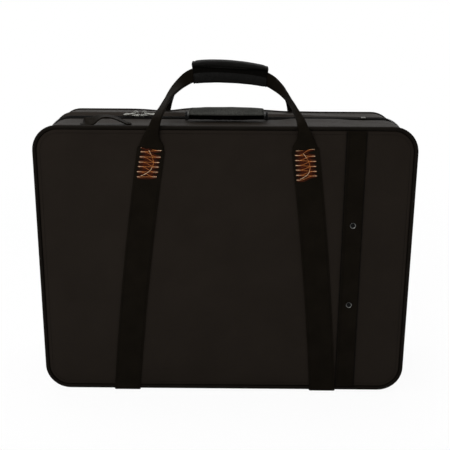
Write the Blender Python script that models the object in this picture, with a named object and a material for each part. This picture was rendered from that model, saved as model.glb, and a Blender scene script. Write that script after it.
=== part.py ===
"""Soft-sided trumpet case for three instruments, standing upright on its hinge side.

The front half (the base) holds the instruments, the sheet-music pocket, the low top handle and
the front carry loop. The back half (the lid) zips onto it and turns back on a fabric hinge along
the bottom. X runs along the length, Y from the front panel to the back, Z up; the origin is on
the floor under the middle of the case.
"""

import math

import bmesh
import bpy
from mathutils import Quaternion, Vector

# Case shells
SHELL_WIDTH = 0.556
SHELL_HEIGHT = 0.412
PANEL_SPACING = 0.185
CORNER_RADIUS = 0.036
CORNER_STEPS = 8
WALL = 0.004
PANEL_THICKNESS = 0.002
SPLIT_Y = 0.008
SPLIT_GAP = 0.001
CLEARANCE = 0.0003
FOOT_HEIGHT = 0.006
CUT_OVERRUN = 0.004

# Piping round the front and back edges
PIPING_RADIUS = 0.003
PIPING_PROUD = 0.002
PIPING_SIDES = 10

# Padded lining, lane dividers and instrument rests
LINING_THICKNESS = 0.006
DIVIDER_THICKNESS = 0.010
DIVIDER_EDGE = 0.003
LANES = 3
REST_X = 0.172
REST_LENGTH = 0.030
REST_DEPTH = 0.046
REST_NOTCH_RADIUS = 0.030
REST_NOTCH_STEPS = 12

# Sheet-music pocket behind the front panel, with its mouth under a snapped strip
POCKET_DEPTH = 0.0047
POCKET_RIM = 0.010
PANEL_EDGE = 0.0006
MOUTH_X = 0.181
MOUTH_WIDTH = 0.008
MOUTH_END = 0.024
STRIP_X = 0.1755
STRIP_WIDTH = 0.028
STRIP_THICKNESS = 0.0014
STRIP_SEAM = 0.005
SNAP_X = 0.190
SNAP_HEIGHTS = {"upper": 0.2735, "lower": 0.148}
SNAP_SIDES = 20
STUD_FLANGE_RADIUS = 0.004
STUD_FLANGE = 0.0004
STUD_RADIUS = 0.0016
STUD_LENGTH = 0.0018
SOCKET_RADIUS = 0.0020
BARREL_RADIUS = 0.0030
CAP_RADIUS = 0.0046
CAP_RIM = 0.0007
CAP_DOME = 0.0017
CAP_DOME_SHARES = ((1, 0), (0.93, 0.4), (0.72, 0.75), (0.4, 0.95))

# Zipper along the sides and the top
TAPE_WIDTH = 0.009
TAPE_THICKNESS = 0.001
COIL_WIDTH = 0.0028
COIL_HEIGHT = 0.0017
COIL_GAP = 0.0016
SLIDER_X = {"left": -0.1405, "right": -0.127}
SLIDER_LENGTH = 0.0125
SLIDER_MOUTH = 0.0105
SLIDER_TAIL = 0.008
SLIDER_PLATE = 0.0018
SLIDER_FLANGE = 0.0011
SLIDER_KEEL = 0.0008
SLIDER_KEEL_DEPTH = 0.0014
CROWN_LENGTH = 0.009
CROWN_WIDTH = 0.003
CROWN_HEIGHT = 0.006
CROWN_BAR = 0.0014
PULL_LENGTH = 0.020
PULL_WIDTH = 0.0074
PULL_THICKNESS = 0.0016
PULL_SIDE = 0.0016
PULL_WINDOW = 0.0085
PULL_HOLE_RADIUS = 0.0018
END_STOP_SETBACK = 0.064
END_STOP_LENGTH = 0.007
END_STOP_HEIGHT = 0.0024

# Fabric hinge and rubber feet underneath
HINGE_END_SETBACK = 0.038
HINGE_WIDTH = 0.023
HINGE_THICKNESS = 0.0012
FOOT_END_SETBACK = 0.048
FOOT_SETBACK = 0.029
FOOT_RADIUS = 0.009
FOOT_EDGE = 0.001
FOOT_SIDES = 20

# Webbing straps sewn to the front and back panels
STRAP_WIDTH = 0.040
WEBBING_THICKNESS = 0.0018
STRAP_FOOT_X = {"left": -0.152, "right": 0.1545}
STRAP_HEAD_X = {"left": -0.1065, "right": 0.1155}
STRAP_HEAD_Z = 0.390
STRAP_TURN_STEPS = 6
STRAP_TURN_START = math.radians(-70)
STRAP_TURN_END = math.radians(-200)
STRAP_SETTLE = 0.009
STRAP_BOW = 0.0035
STRAP_BOW_SHARES = (0.2, 0.4, 0.6, 0.8)
STRAP_TAIL_GAP = 0.006

# Carry loops, folded from the same webbing, and the wrap that holds them together
LOOP_RISE = 0.1005
LOOP_TILT = 0.045
LOOP_SWAY = 0.0115
LOOP_THICKNESS = 0.0047
LOOP_GAP = 0.0008
LOOP_PIPING_GAP = 0.0005
LOOP_HEEL_GAP = 0.0014
LOOP_TWIST = math.radians(55)
LOOP_STEPS = 3
LEG_SHARES = ((1, 0), (1, 0.09), (0.983, 0.19), (0.955, 0.29), (0.92, 0.40), (0.87, 0.51), (0.815, 0.62),
              (0.745, 0.72), (0.655, 0.81), (0.55, 0.89), (0.40, 0.95), (0.20, 0.988))
LOOP_LEAN_SHARES = (0.35, 0.88)
LOOP_WIDTH_SHARES = ((0, 0.9), (0.14, 0.58), (0.27, 0.4), (0.42, 0.31), (0.62, 0.3), (0.78, 0.4),
                     (0.9, 0.5), (1, 0.58))
LOOP_FOLD_SHARES = ((0, 0), (0.2, 1), (1, 1))
LOOP_TWIST_SHARES = ((0, 0), (0.36, 0), (0.5, 0.8), (0.62, 1), (0.74, 0.55), (0.84, 0.08),
                     (0.89, 0), (1, 0))
BAND_SHARES = ((-0.5, -0.3), (-0.44, -0.5), (0.44, -0.5), (0.5, -0.3),
               (0.5, 0.3), (0.44, 0.5), (-0.44, 0.5), (-0.5, 0.3))
WRAP_X = 0.0065
WRAP_LENGTH = 0.112
WRAP_THICKNESS = 0.0028
WRAP_STATIONS = 10
WRAP_LAP_GAP = 0.0004
WRAP_SHARES = ((-1, 0.66), (-1, -0.1), (-1, -0.8), (-0.8, -1), (0.8, -1), (1, -0.8),
               (1, 0.8), (0.8, 1), (-0.6, 1.02))
WRAP_LAP_SHARES = ((-0.95, 0.9), (-1, 0.64), (-1, 0.34))

# Low handle on the top of the base
HANDLE_X = 0.0015
HANDLE_AXIS_Y = -0.0065
HANDLE_AXIS_HEIGHT = 0.008
GRIP_LENGTH = 0.114
GRIP_WIDTH = 0.031
GRIP_HEIGHT = 0.0186
GRIP_REACH = 0.0165
GRIP_LIFT = 0.0021
GRIP_SIDES = 16
GRIP_TAPER_SHARES = ((0, 0.74), (0.02, 0.84), (0.2, 0.93), (0.5, 1), (0.8, 0.93), (0.98, 0.84), (1, 0.74))
CORE_WIDTH = 0.010
CORE_THICKNESS = 0.003
CORE_CHEEK = 0.002
PIN_RADIUS = 0.002
PIN_LENGTH = 0.0045
BRACKET_LENGTH = 0.004
BRACKET_WIDTH = 0.009
BRACKET_ROUND_STEPS = 10

# Webbing hook loop on the top, left of the handle
HOOK_END_SETBACK = 0.068
HOOK_LENGTH = 0.071
HOOK_WIDTH = 0.020
HOOK_RISE = 0.0110
HOOK_SETBACK = 0.0065
HOOK_SHARES = ((0, 0), (0.1, 0), (0.2, 0.1), (0.3, 0.5), (0.42, 0.9), (0.55, 1),
               (0.68, 0.93), (0.8, 0.5), (0.89, 0.06), (0.95, 0), (1, 0))

# Places that follow from the sizes above
FOOT_X = SHELL_WIDTH / 2 - FOOT_END_SETBACK
HINGE_LENGTH = SHELL_WIDTH - 2 * HINGE_END_SETBACK
HOOK_LEFT_X = HOOK_END_SETBACK - SHELL_WIDTH / 2
HOOK_RIGHT_X = HOOK_LEFT_X + HOOK_LENGTH
END_STOP_X = SHELL_WIDTH / 2 - END_STOP_SETBACK
FRONT_Y = -PANEL_SPACING / 2
BACK_Y = PANEL_SPACING / 2
SHELL_BOTTOM = FOOT_HEIGHT
SHELL_TOP = FOOT_HEIGHT + SHELL_HEIGHT
SHELL_MID_Z = FOOT_HEIGHT + SHELL_HEIGHT / 2
PIPING_INSET = PIPING_RADIUS - PIPING_PROUD
PIPING_SEAT = PIPING_INSET + PIPING_RADIUS + CLEARANCE
PANEL_BACK = PANEL_THICKNESS + CLEARANCE
LINING_INSET = WALL + CLEARANCE
INNER_INSET = LINING_INSET + LINING_THICKNESS
POCKET_FLOOR = PANEL_BACK + POCKET_DEPTH
BASE_FLOOR_Y = FRONT_Y + POCKET_FLOOR + WALL
LID_FLOOR_Y = BACK_Y - PANEL_BACK - WALL
BASE_EDGE_Y = SPLIT_Y - SPLIT_GAP / 2
LID_EDGE_Y = SPLIT_Y + SPLIT_GAP / 2
LANE_FLOOR_Y = BASE_FLOOR_Y + CLEARANCE + LINING_THICKNESS
STRIP_BACK = STUD_FLANGE + 2 * CLEARANCE
TAPE_TOP = CLEARANCE + TAPE_THICKNESS
COIL_TOP = TAPE_TOP + COIL_HEIGHT
SLIDER_BOTTOM_Z = SHELL_TOP + COIL_TOP + CLEARANCE
CROWN_BASE_Z = SLIDER_BOTTOM_Z + SLIDER_PLATE
PULL_AXIS_Z = CROWN_BASE_Z + (CROWN_HEIGHT - CROWN_BAR) / 2
HINGE_AXIS_Z = SHELL_BOTTOM - CLEARANCE - HINGE_THICKNESS
WEB_CENTRE = CLEARANCE + WEBBING_THICKNESS / 2
STRAP_TURN_RADIUS = PIPING_RADIUS + WEB_CENTRE
HANDLE_AXIS_Z = SHELL_TOP + HANDLE_AXIS_HEIGHT

FINISHES = {
    "nylon": ((0.016, 0.014, 0.013), 0.75, 0),
    "piping": ((0.008, 0.008, 0.008), 0.55, 0),
    "plush": ((0.030, 0.030, 0.034), 0.95, 0),
    "webbing": ((0.008, 0.008, 0.007), 0.85, 0),
    "leatherette": ((0.012, 0.012, 0.012), 0.5, 0),
    "zipper_tape": ((0.010, 0.010, 0.010), 0.8, 0),
    "nickel": ((0.62, 0.61, 0.58), 0.25, 1),
    "rubber": ((0.015, 0.015, 0.015), 0.8, 0),
    "black_plastic": ((0.012, 0.012, 0.012), 0.45, 0),
    "steel": ((0.35, 0.35, 0.36), 0.4, 1),
}
AXES = {}


def clear_scene():
    for old in list(bpy.data.objects):
        bpy.data.objects.remove(old, do_unlink=True)


def material(name):
    """The finish of that name, made the first time it is asked for."""
    if name in bpy.data.materials:
        return bpy.data.materials[name]
    colour, roughness, metallic = FINISHES[name]
    made = bpy.data.materials.new(name)
    made.use_nodes = True
    shader = made.node_tree.nodes["Principled BSDF"]
    shader.inputs["Base Color"].default_value = (*colour, 1)
    shader.inputs["Roughness"].default_value = roughness
    shader.inputs["Metallic"].default_value = metallic
    return made


def axis(name, point, parent=None):
    """An empty on a joint's axis, which carries the pieces that turn or slide together."""
    empty = bpy.data.objects.new(name, None)
    bpy.context.scene.collection.objects.link(empty)
    AXES[name] = Vector(point)
    if parent:
        empty.parent = bpy.data.objects[parent]
    empty.location = AXES[name] - AXES.get(parent, Vector())
    return empty


def piece(name, finish, loops, on=None, ring=False):
    """One solid through a row of equal loops of points, capped at both ends, or joined round as a ring.

    The points are where the piece stands at rest, and `on` names the empty that carries it.
    """
    origin = AXES.get(on, Vector())
    shape = bmesh.new()
    rows = [[shape.verts.new(Vector(point) - origin) for point in loop] for loop in loops]
    count = len(rows[0])
    for here, there in zip(rows, rows[1:] + rows[:1] if ring else rows[1:]):
        for i in range(count):
            j = (i + 1) % count
            shape.faces.new((here[i], here[j], there[j], there[i]))
    if not ring:
        shape.faces.new(rows[0])
        shape.faces.new(rows[-1])
    bmesh.ops.recalc_face_normals(shape, faces=shape.faces)
    mesh = bpy.data.meshes.new(name)
    shape.to_mesh(mesh)
    shape.free()
    mesh.shade_smooth()
    mesh.set_sharp_from_angle(angle=math.radians(35))
    made = bpy.data.objects.new(name, mesh)
    bpy.context.scene.collection.objects.link(made)
    mesh.materials.append(material(finish))
    if on:
        made.parent = bpy.data.objects[on]
    return made


def boolean(target, other, operation):
    """Cuts the other solid from the target, or joins it on, and hides the other as a helper."""
    modifier = target.modifiers.new(operation.lower(), "BOOLEAN")
    modifier.operation = operation
    modifier.object = other
    other.hide_render = True
    other.display_type = "WIRE"


def block_loops(low, high):
    """A box as two loops, at its lowest and its highest X."""
    corners = ((low[1], low[2]), (high[1], low[2]), (high[1], high[2]), (low[1], high[2]))
    return [[(x, y, z) for y, z in corners] for x in (low[0], high[0])]


def turned_loops(centre, profile, sides, along="Y"):
    """Circles round the centre: the profile gives each one's radius and its place on the axis."""
    loops = []
    for radius, place in profile:
        loop = []
        for i in range(sides):
            turn = math.tau * i / sides
            a, b = radius * math.cos(turn), radius * math.sin(turn)
            offset = {"X": (place, a, b), "Y": (a, place, b), "Z": (a, b, place)}[along]
            loop.append(Vector(centre) + Vector(offset))
        loops.append(loop)
    return loops


def corner_run(corner):
    """Points and outward directions round one corner; corner 0 is the bottom right, then anticlockwise."""
    right = 1 if corner in (0, 1) else -1
    up = 1 if corner in (1, 2) else -1
    half_height = SHELL_HEIGHT / 2 - CORNER_RADIUS
    centre = Vector((right * (SHELL_WIDTH / 2 - CORNER_RADIUS), 0, SHELL_MID_Z + up * half_height))
    run = []
    for step in range(CORNER_STEPS + 1):
        turn = math.pi / 2 * (corner - 1 + step / CORNER_STEPS)
        outward = Vector((math.cos(turn), 0, math.sin(turn)))
        run.append((centre + outward * CORNER_RADIUS, outward))
    return run


def shell_ring(inset, y):
    """The shell's outline, drawn in by the inset, at one depth."""
    shift = Vector((0, y, 0))
    return [point - outward * inset + shift for corner in range(4) for point, outward in corner_run(corner)]


def shares_at(table, share):
    """A value read from a table of shares, straight between its rows."""
    for (low, first), (high, last) in zip(table, table[1:]):
        if share <= high:
            return first + (last - first) * (share - low) / (high - low)
    return table[-1][1]


def smooth_run(points, steps):
    """A smooth curve through the points, with that many steps from each to the next."""
    ends = [points[0] * 2 - points[1], *points, points[-1] * 2 - points[-2]]
    run = []
    for a, b, c, d in zip(ends, ends[1:], ends[2:], ends[3:]):
        for step in range(steps):
            t = step / steps
            bend = a * 2 - b * 5 + c * 4 - d
            swing = b * 3 - a - c * 3 + d
            run.append((b * 2 + (c - a) * t + bend * t * t + swing * t ** 3) / 2)
    return run + [points[-1]]


def tangents(path):
    """The direction of travel at each point of a path."""
    ahead = path[1:] + path[-1:]
    behind = path[:1] + path[:-1]
    return [(b - a).normalized() for a, b in zip(behind, ahead)]


def band_loops(path, heading, normals, widths, thicknesses):
    """A flat band of webbing along a path, each section square to its heading and facing its normal."""
    loops = []
    for point, ahead, normal, width, thickness in zip(path, heading, normals, widths, thicknesses):
        face = (normal - ahead * normal.dot(ahead)).normalized()
        across = ahead.cross(face)
        loops.append([point + across * (a * width) + face * (b * thickness) for a, b in BAND_SHARES])
    return loops


def base_shell():
    """A tray open to the back, with the shallow pocket recess in its front."""
    front = FRONT_Y + PANEL_BACK
    piece("base_shell", "nylon", [
        shell_ring(POCKET_RIM, FRONT_Y + POCKET_FLOOR),
        shell_ring(POCKET_RIM, front),
        shell_ring(PIPING_SEAT, front),
        shell_ring(PIPING_SEAT, FRONT_Y + PIPING_SEAT),
        shell_ring(0, FRONT_Y + PIPING_SEAT),
        shell_ring(0, BASE_EDGE_Y),
        shell_ring(WALL, BASE_EDGE_Y),
        shell_ring(WALL, BASE_FLOOR_Y),
    ])


def lid_shell():
    back = BACK_Y - PANEL_BACK
    piece("lid_shell", "nylon", [
        shell_ring(PIPING_SEAT, back),
        shell_ring(PIPING_SEAT, BACK_Y - PIPING_SEAT),
        shell_ring(0, BACK_Y - PIPING_SEAT),
        shell_ring(0, LID_EDGE_Y),
        shell_ring(WALL, LID_EDGE_Y),
        shell_ring(WALL, LID_FLOOR_Y),
    ], on="lid_axis")


def lining(name, floor_y, edge_y, inward, on=None):
    """A padded tray inside a shell, set back a little at the split."""
    outer_floor = floor_y + inward * CLEARANCE
    piece(name, "plush", [
        shell_ring(LINING_INSET, outer_floor),
        shell_ring(LINING_INSET, edge_y - inward * CLEARANCE),
        shell_ring(INNER_INSET, edge_y - inward * CLEARANCE),
        shell_ring(INNER_INSET, outer_floor + inward * LINING_THICKNESS),
    ], on=on)


def piping(name, face_y, outward, on=None):
    """A round cord in the seam between a face panel and the side."""
    loops = []
    for corner in range(4):
        for point, direction in corner_run(corner):
            centre = point - direction * PIPING_INSET + Vector((0, face_y - outward * PIPING_INSET, 0))
            loop = []
            for i in range(PIPING_SIDES):
                turn = math.tau * i / PIPING_SIDES
                spoke = direction * math.cos(turn) + Vector((0, math.sin(turn), 0))
                loop.append(centre + spoke * PIPING_RADIUS)
            loops.append(loop)
    piece(name, "piping", loops, on=on, ring=True)


def pocket_panel():
    """The front panel, with the tall mouth of the sheet-music pocket near its right side."""
    panel = piece("pocket_panel", "nylon", [
        shell_ring(PIPING_SEAT, FRONT_Y + PANEL_THICKNESS),
        shell_ring(PIPING_SEAT, FRONT_Y + PANEL_EDGE),
        shell_ring(PIPING_SEAT + PANEL_EDGE, FRONT_Y),
    ])
    low = (MOUTH_X - MOUTH_WIDTH / 2, FRONT_Y - CUT_OVERRUN, SHELL_BOTTOM + MOUTH_END)
    high = (MOUTH_X + MOUTH_WIDTH / 2, FRONT_Y + PANEL_THICKNESS + CUT_OVERRUN, SHELL_TOP - MOUTH_END)
    boolean(panel, piece("pocket_mouth_cutter", "nylon", block_loops(low, high)), "DIFFERENCE")


def back_panel():
    piece("back_panel", "nylon", [
        shell_ring(PIPING_SEAT, BACK_Y - PANEL_THICKNESS),
        shell_ring(PIPING_SEAT, BACK_Y - PANEL_EDGE),
        shell_ring(PIPING_SEAT + PANEL_EDGE, BACK_Y),
    ], on="lid_axis")


def pocket_strip():
    """The webbing strip that turns on its left edge to bare the pocket's mouth, with its snap caps."""
    back = FRONT_Y - STRIP_BACK
    axis("strip_axis", (STRIP_X, back - STRIP_THICKNESS / 2, SHELL_MID_Z))
    low = (STRIP_X, back - STRIP_THICKNESS, SHELL_BOTTOM + STRIP_SEAM)
    high = (STRIP_X + STRIP_WIDTH, back, SHELL_TOP - STRIP_SEAM)
    strip = piece("pocket_strip", "webbing", block_loops(low, high), on="strip_axis")
    for place, z in SNAP_HEIGHTS.items():
        hole = turned_loops((SNAP_X, back, z), [
            (BARREL_RADIUS + CLEARANCE, CUT_OVERRUN),
            (BARREL_RADIUS + CLEARANCE, -CUT_OVERRUN),
        ], SNAP_SIDES)
        boolean(strip, piece(f"snap_hole_{place}", "webbing", hole, on="strip_axis"), "DIFFERENCE")
        snap_cap(place, back, z)
        snap_stud(place, z)


def snap_cap(place, back, z):
    """A domed cap whose barrel goes through the strip and holds the socket."""
    seat = -STRIP_THICKNESS - CLEARANCE
    rim = seat - CAP_RIM
    socket_floor = FRONT_Y - CLEARANCE - STUD_FLANGE - STUD_LENGTH - CLEARANCE - back
    dome = [(CAP_RADIUS * across, rim - CAP_DOME * out) for across, out in CAP_DOME_SHARES]
    profile = [(SOCKET_RADIUS, socket_floor), (SOCKET_RADIUS, 0), (BARREL_RADIUS, 0), (BARREL_RADIUS, seat),
               (CAP_RADIUS, seat), *dome]
    loops = turned_loops((SNAP_X, back, z), profile, SNAP_SIDES)
    piece(f"snap_cap_{place}", "nickel", loops, on="strip_axis")


def snap_stud(place, z):
    """The snap's lower half, fixed to the panel beside the pocket's mouth."""
    profile = [(STUD_FLANGE_RADIUS, 0), (STUD_FLANGE_RADIUS, -STUD_FLANGE), (STUD_RADIUS, -STUD_FLANGE),
               (STUD_RADIUS, -STUD_FLANGE - STUD_LENGTH)]
    centre = (SNAP_X, FRONT_Y - CLEARANCE, z)
    piece(f"snap_stud_{place}", "nickel", turned_loops(centre, profile, SNAP_SIDES))


def zipper_tape(name, side, on=None):
    """One half of the zipper: its tape lies on the side walls and the top, and its coil along the split.

    The side is -1 for the base's half and 1 for the lid's.
    """
    section = [(CLEARANCE, COIL_GAP / 2), (COIL_TOP, COIL_GAP / 2), (COIL_TOP, COIL_GAP / 2 + COIL_WIDTH),
               (TAPE_TOP, COIL_GAP / 2 + COIL_WIDTH), (TAPE_TOP, COIL_GAP / 2 + TAPE_WIDTH),
               (CLEARANCE, COIL_GAP / 2 + TAPE_WIDTH)]
    low_z = SHELL_BOTTOM + CORNER_RADIUS
    start = (Vector((SHELL_WIDTH / 2, 0, low_z)), Vector((1, 0, 0)))
    end = (Vector((-SHELL_WIDTH / 2, 0, low_z)), Vector((-1, 0, 0)))
    run = [start, *corner_run(1), *corner_run(2), end]
    loops = [[point + outward * out + Vector((0, SPLIT_Y + side * depth, 0)) for out, depth in section]
             for point, outward in run]
    piece(name, "zipper_tape", loops, on=on)


def zipper_slider(hand):
    """A slider on the top run: plate, flange beside the base's coil, keel between the coils, crown."""
    out = -1 if hand == "left" else 1
    x = SLIDER_X[hand]
    name = f"slider_{hand}_axis"
    axis(name, (x, SPLIT_Y, SLIDER_BOTTOM_Z))
    half = SLIDER_LENGTH / 2
    shoulder = half / 4
    outline = ((-half, SLIDER_TAIL), (-shoulder, SLIDER_TAIL),
               (shoulder, SLIDER_MOUTH), (half, SLIDER_MOUTH))
    # The mouths of the two sliders face each other.
    row = [(x - out * place, width / 2) for place, width in outline]
    ring = [(px, SPLIT_Y - w) for px, w in row] + [(px, SPLIT_Y + w) for px, w in reversed(row)]
    loops = [[(px, py, z) for px, py in ring] for z in (SLIDER_BOTTOM_Z, CROWN_BASE_Z)]
    plate = piece(f"slider_{hand}", "nickel", loops, on=name)
    flange_back = SPLIT_Y - COIL_GAP / 2 - COIL_WIDTH - CLEARANCE
    parts = {
        "flange": ((min(x, x - out * half), flange_back - SLIDER_FLANGE, SHELL_TOP + TAPE_TOP + CLEARANCE),
                   (max(x, x - out * half), flange_back, CROWN_BASE_Z - SLIDER_PLATE / 3)),
        "keel": ((x - half / 2, SPLIT_Y - SLIDER_KEEL / 2, SLIDER_BOTTOM_Z - SLIDER_KEEL_DEPTH),
                 (x + half / 2, SPLIT_Y + SLIDER_KEEL / 2, CROWN_BASE_Z - SLIDER_PLATE / 3)),
        "crown": ((x - CROWN_LENGTH / 2, SPLIT_Y - CROWN_WIDTH / 2, CROWN_BASE_Z - SLIDER_PLATE / 3),
                  (x + CROWN_LENGTH / 2, SPLIT_Y + CROWN_WIDTH / 2, CROWN_BASE_Z + CROWN_HEIGHT)),
    }
    for part, (low, high) in parts.items():
        boolean(plate, piece(f"slider_{hand}_{part}", "nickel", block_loops(low, high), on=name), "UNION")
    window = block_loops(
        (x - CROWN_LENGTH / 2 + CROWN_BAR, SPLIT_Y - CROWN_WIDTH, CROWN_BASE_Z),
        (x + CROWN_LENGTH / 2 - CROWN_BAR, SPLIT_Y + CROWN_WIDTH, CROWN_BASE_Z + CROWN_HEIGHT - CROWN_BAR))
    boolean(plate, piece(f"slider_{hand}_window", "nickel", window, on=name), "DIFFERENCE")


def zipper_pull(hand):
    """A flat tab whose end bar passes under the slider's crown; its tip droops to just over the coils."""
    out = -1 if hand == "left" else 1
    x = SLIDER_X[hand]
    name = f"pull_{hand}_axis"
    axis(name, (x, SPLIT_Y, PULL_AXIS_Z), parent=f"slider_{hand}_axis")
    half = PULL_THICKNESS / 2
    drop = PULL_AXIS_Z - half - (SHELL_TOP + COIL_TOP + CLEARANCE)
    droop = math.asin(drop / PULL_LENGTH)
    along = Vector((out * math.cos(droop), 0, -math.sin(droop)))
    up = Vector((out * math.sin(droop), 0, math.cos(droop)))
    origin = AXES[name]

    def tab(reach, wide, thick):
        """A flat bar along the tab, from one reach to the other."""
        corners = ((-wide, -thick), (wide, -thick), (wide, thick), (-wide, thick))
        return [[origin + along * r + Vector((0, a, 0)) + up * b for a, b in corners] for r in reach]

    pull = piece(f"pull_{hand}", "nickel", tab((-half, PULL_LENGTH), PULL_WIDTH / 2, half), on=name)
    window = tab((half, half + PULL_WINDOW), PULL_WIDTH / 2 - PULL_SIDE, half + CUT_OVERRUN)
    boolean(pull, piece(f"pull_{hand}_window", "nickel", window, on=name), "DIFFERENCE")
    hole_at = origin + along * (half + PULL_WINDOW + (PULL_LENGTH - PULL_WINDOW) / 2)
    rim = []
    for i in range(SNAP_SIDES):
        turn = math.tau * i / SNAP_SIDES
        rim.append((along * math.cos(turn) + Vector((0, math.sin(turn), 0))) * PULL_HOLE_RADIUS)
    through = half + CUT_OVERRUN
    hole = [[hole_at + up * depth + spoke for spoke in rim] for depth in (-through, through)]
    boolean(pull, piece(f"pull_{hand}_hole", "nickel", hole, on=name), "DIFFERENCE")


def zipper_end_stop():
    """The metal stop beside the coil that the right slider runs up to."""
    high_y = SPLIT_Y - COIL_GAP / 2 - COIL_WIDTH - CLEARANCE
    low_y = SPLIT_Y - COIL_GAP / 2 - TAPE_WIDTH
    low = (END_STOP_X - END_STOP_LENGTH / 2, low_y, SHELL_TOP + TAPE_TOP + CLEARANCE)
    high = (END_STOP_X + END_STOP_LENGTH / 2, high_y, low[2] + END_STOP_HEIGHT)
    stop = piece("zipper_end_stop", "nickel", block_loops(low, high))
    rounding = stop.modifiers.new("rounding", "BEVEL")
    rounding.width = END_STOP_HEIGHT / 3
    rounding.segments = 2


def hinge_tape(name, side, on=None):
    """Half of the fabric hinge, sewn flat under the bottom wall up to the line where it folds."""
    edges = sorted((SPLIT_Y + side * CLEARANCE, SPLIT_Y + side * HINGE_WIDTH))
    low = (-HINGE_LENGTH / 2, edges[0], HINGE_AXIS_Z)
    high = (HINGE_LENGTH / 2, edges[1], SHELL_BOTTOM - CLEARANCE)
    piece(name, "webbing", block_loops(low, high), on=on)


def feet(row, y, on=None):
    for hand, x in (("left", -FOOT_X), ("right", FOOT_X)):
        profile = [(FOOT_RADIUS - FOOT_EDGE, 0), (FOOT_RADIUS, FOOT_EDGE),
                   (FOOT_RADIUS, FOOT_HEIGHT - CLEARANCE)]
        loops = turned_loops((x, y, 0), profile, FOOT_SIDES, along="Z")
        piece(f"foot_{row}_{hand}", "rubber", loops, on=on)


def panel_straps(row, side, on=None):
    """Webbing from under the bottom wall, round the piping and up the panel to a carry loop's foot."""
    face = side * (PANEL_SPACING / 2 + WEB_CENTRE)
    turn_y = side * (PANEL_SPACING / 2 - PIPING_INSET)
    turn_z = SHELL_BOTTOM + PIPING_INSET
    run_z = SHELL_BOTTOM - WEB_CENTRE
    tail_y = SPLIT_Y + side * (HINGE_WIDTH + STRAP_TAIL_GAP)
    head_z = STRAP_HEAD_Z - LOOP_HEEL_GAP
    turns = []
    for step in range(STRAP_TURN_STEPS + 1):
        turn = STRAP_TURN_START + (STRAP_TURN_END - STRAP_TURN_START) * step / STRAP_TURN_STEPS
        turns.append((turn_y - side * STRAP_TURN_RADIUS * math.cos(turn),
                      turn_z + STRAP_TURN_RADIUS * math.sin(turn)))
    settle_z = turn_z + STRAP_TURN_RADIUS + STRAP_SETTLE
    settle_y = turn_y - side * STRAP_SETTLE
    run = [(face, settle_z + (head_z - settle_z) * share) for share in (0, *STRAP_BOW_SHARES, 1)]
    places = [(tail_y, run_z), (settle_y, run_z), *turns, *run]
    heading = tangents([Vector((0, y, z)) for y, z in places])
    normals = [Vector((0, side * ahead.z, -side * ahead.y)) for ahead in heading]
    for hand in STRAP_FOOT_X:
        foot_x, head_x = STRAP_FOOT_X[hand], STRAP_HEAD_X[hand]
        bow = math.copysign(STRAP_BOW, foot_x)
        path = []
        for y, z in places:
            rise = max(0, z - turn_z) / (STRAP_HEAD_Z - turn_z)
            x = foot_x + (head_x - foot_x) * rise + bow * 4 * rise * (1 - rise)
            path.append(Vector((x, y, z)))
        count = len(path)
        loops = band_loops(path, heading, normals, [STRAP_WIDTH] * count, [WEBBING_THICKNESS] * count)
        piece(f"{row}_strap_{hand}", "webbing", loops, on=on)


def loop_line():
    """The carry loops' line, left foot to right foot, as shares of half their span and of their rise."""
    left = [Vector((-across, up)) for across, up in LEG_SHARES]
    right = [Vector((-point.x, point.y)) for point in reversed(left)]
    return smooth_run([*left, Vector((0, 1)), *right], LOOP_STEPS)


def loop_place(share):
    """X and Z of a point of the loops' line. The loops lean and sag to the right as their wrap hangs."""
    middle = (STRAP_HEAD_X["left"] + STRAP_HEAD_X["right"]) / 2
    half_span = (STRAP_HEAD_X["right"] - STRAP_HEAD_X["left"]) / 2
    across = half_span * share.x
    sway = LOOP_SWAY * share.y ** 2 * (1 - share.y)
    return middle + across + sway, STRAP_HEAD_Z + LOOP_RISE * share.y - LOOP_TILT * across * share.y


def loop_depth(up):
    """How far from the middle plane a loop stands: out past the piping, then leaning in to its twin."""
    foot = PANEL_SPACING / 2 + WEB_CENTRE
    piping_z = SHELL_TOP - PIPING_INSET
    past = PANEL_SPACING / 2 - PIPING_INSET + PIPING_RADIUS + LOOP_PIPING_GAP + LOOP_THICKNESS / 2
    turn = (piping_z - STRAP_HEAD_Z) / LOOP_RISE
    if up <= turn:
        return foot + (past - foot) * up / turn
    start, end = LOOP_LEAN_SHARES
    lean = max(0, min(1, (up - start) / (end - start)))
    met = (LOOP_GAP + LOOP_THICKNESS) / 2
    return past + (met - past) * lean * lean * (3 - 2 * lean)


def carry_loop(name, side, on):
    """Webbing folded narrow above its foot, twisting as it leans in, and upright under the wrap."""
    path, widths, thicknesses = [], [], []
    line = loop_line()
    for share in line:
        x, z = loop_place(share)
        path.append(Vector((x, side * loop_depth(share.y), z)))
        widths.append(STRAP_WIDTH * shares_at(LOOP_WIDTH_SHARES, share.y))
        folded = shares_at(LOOP_FOLD_SHARES, share.y)
        thicknesses.append(WEBBING_THICKNESS + (LOOP_THICKNESS - WEBBING_THICKNESS) * folded)
    heading = tangents(path)
    normals = []
    for share, ahead in zip(line, heading):
        face = Vector((0, side, 0))
        face = (face - ahead * face.dot(ahead)).normalized()
        twist = LOOP_TWIST * shares_at(LOOP_TWIST_SHARES, share.y) * side * (1 if share.x < 0 else -1)
        normals.append(Quaternion(ahead, twist) @ face)
    piece(name, "webbing", band_loops(path, heading, normals, widths, thicknesses), on=on)


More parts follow.
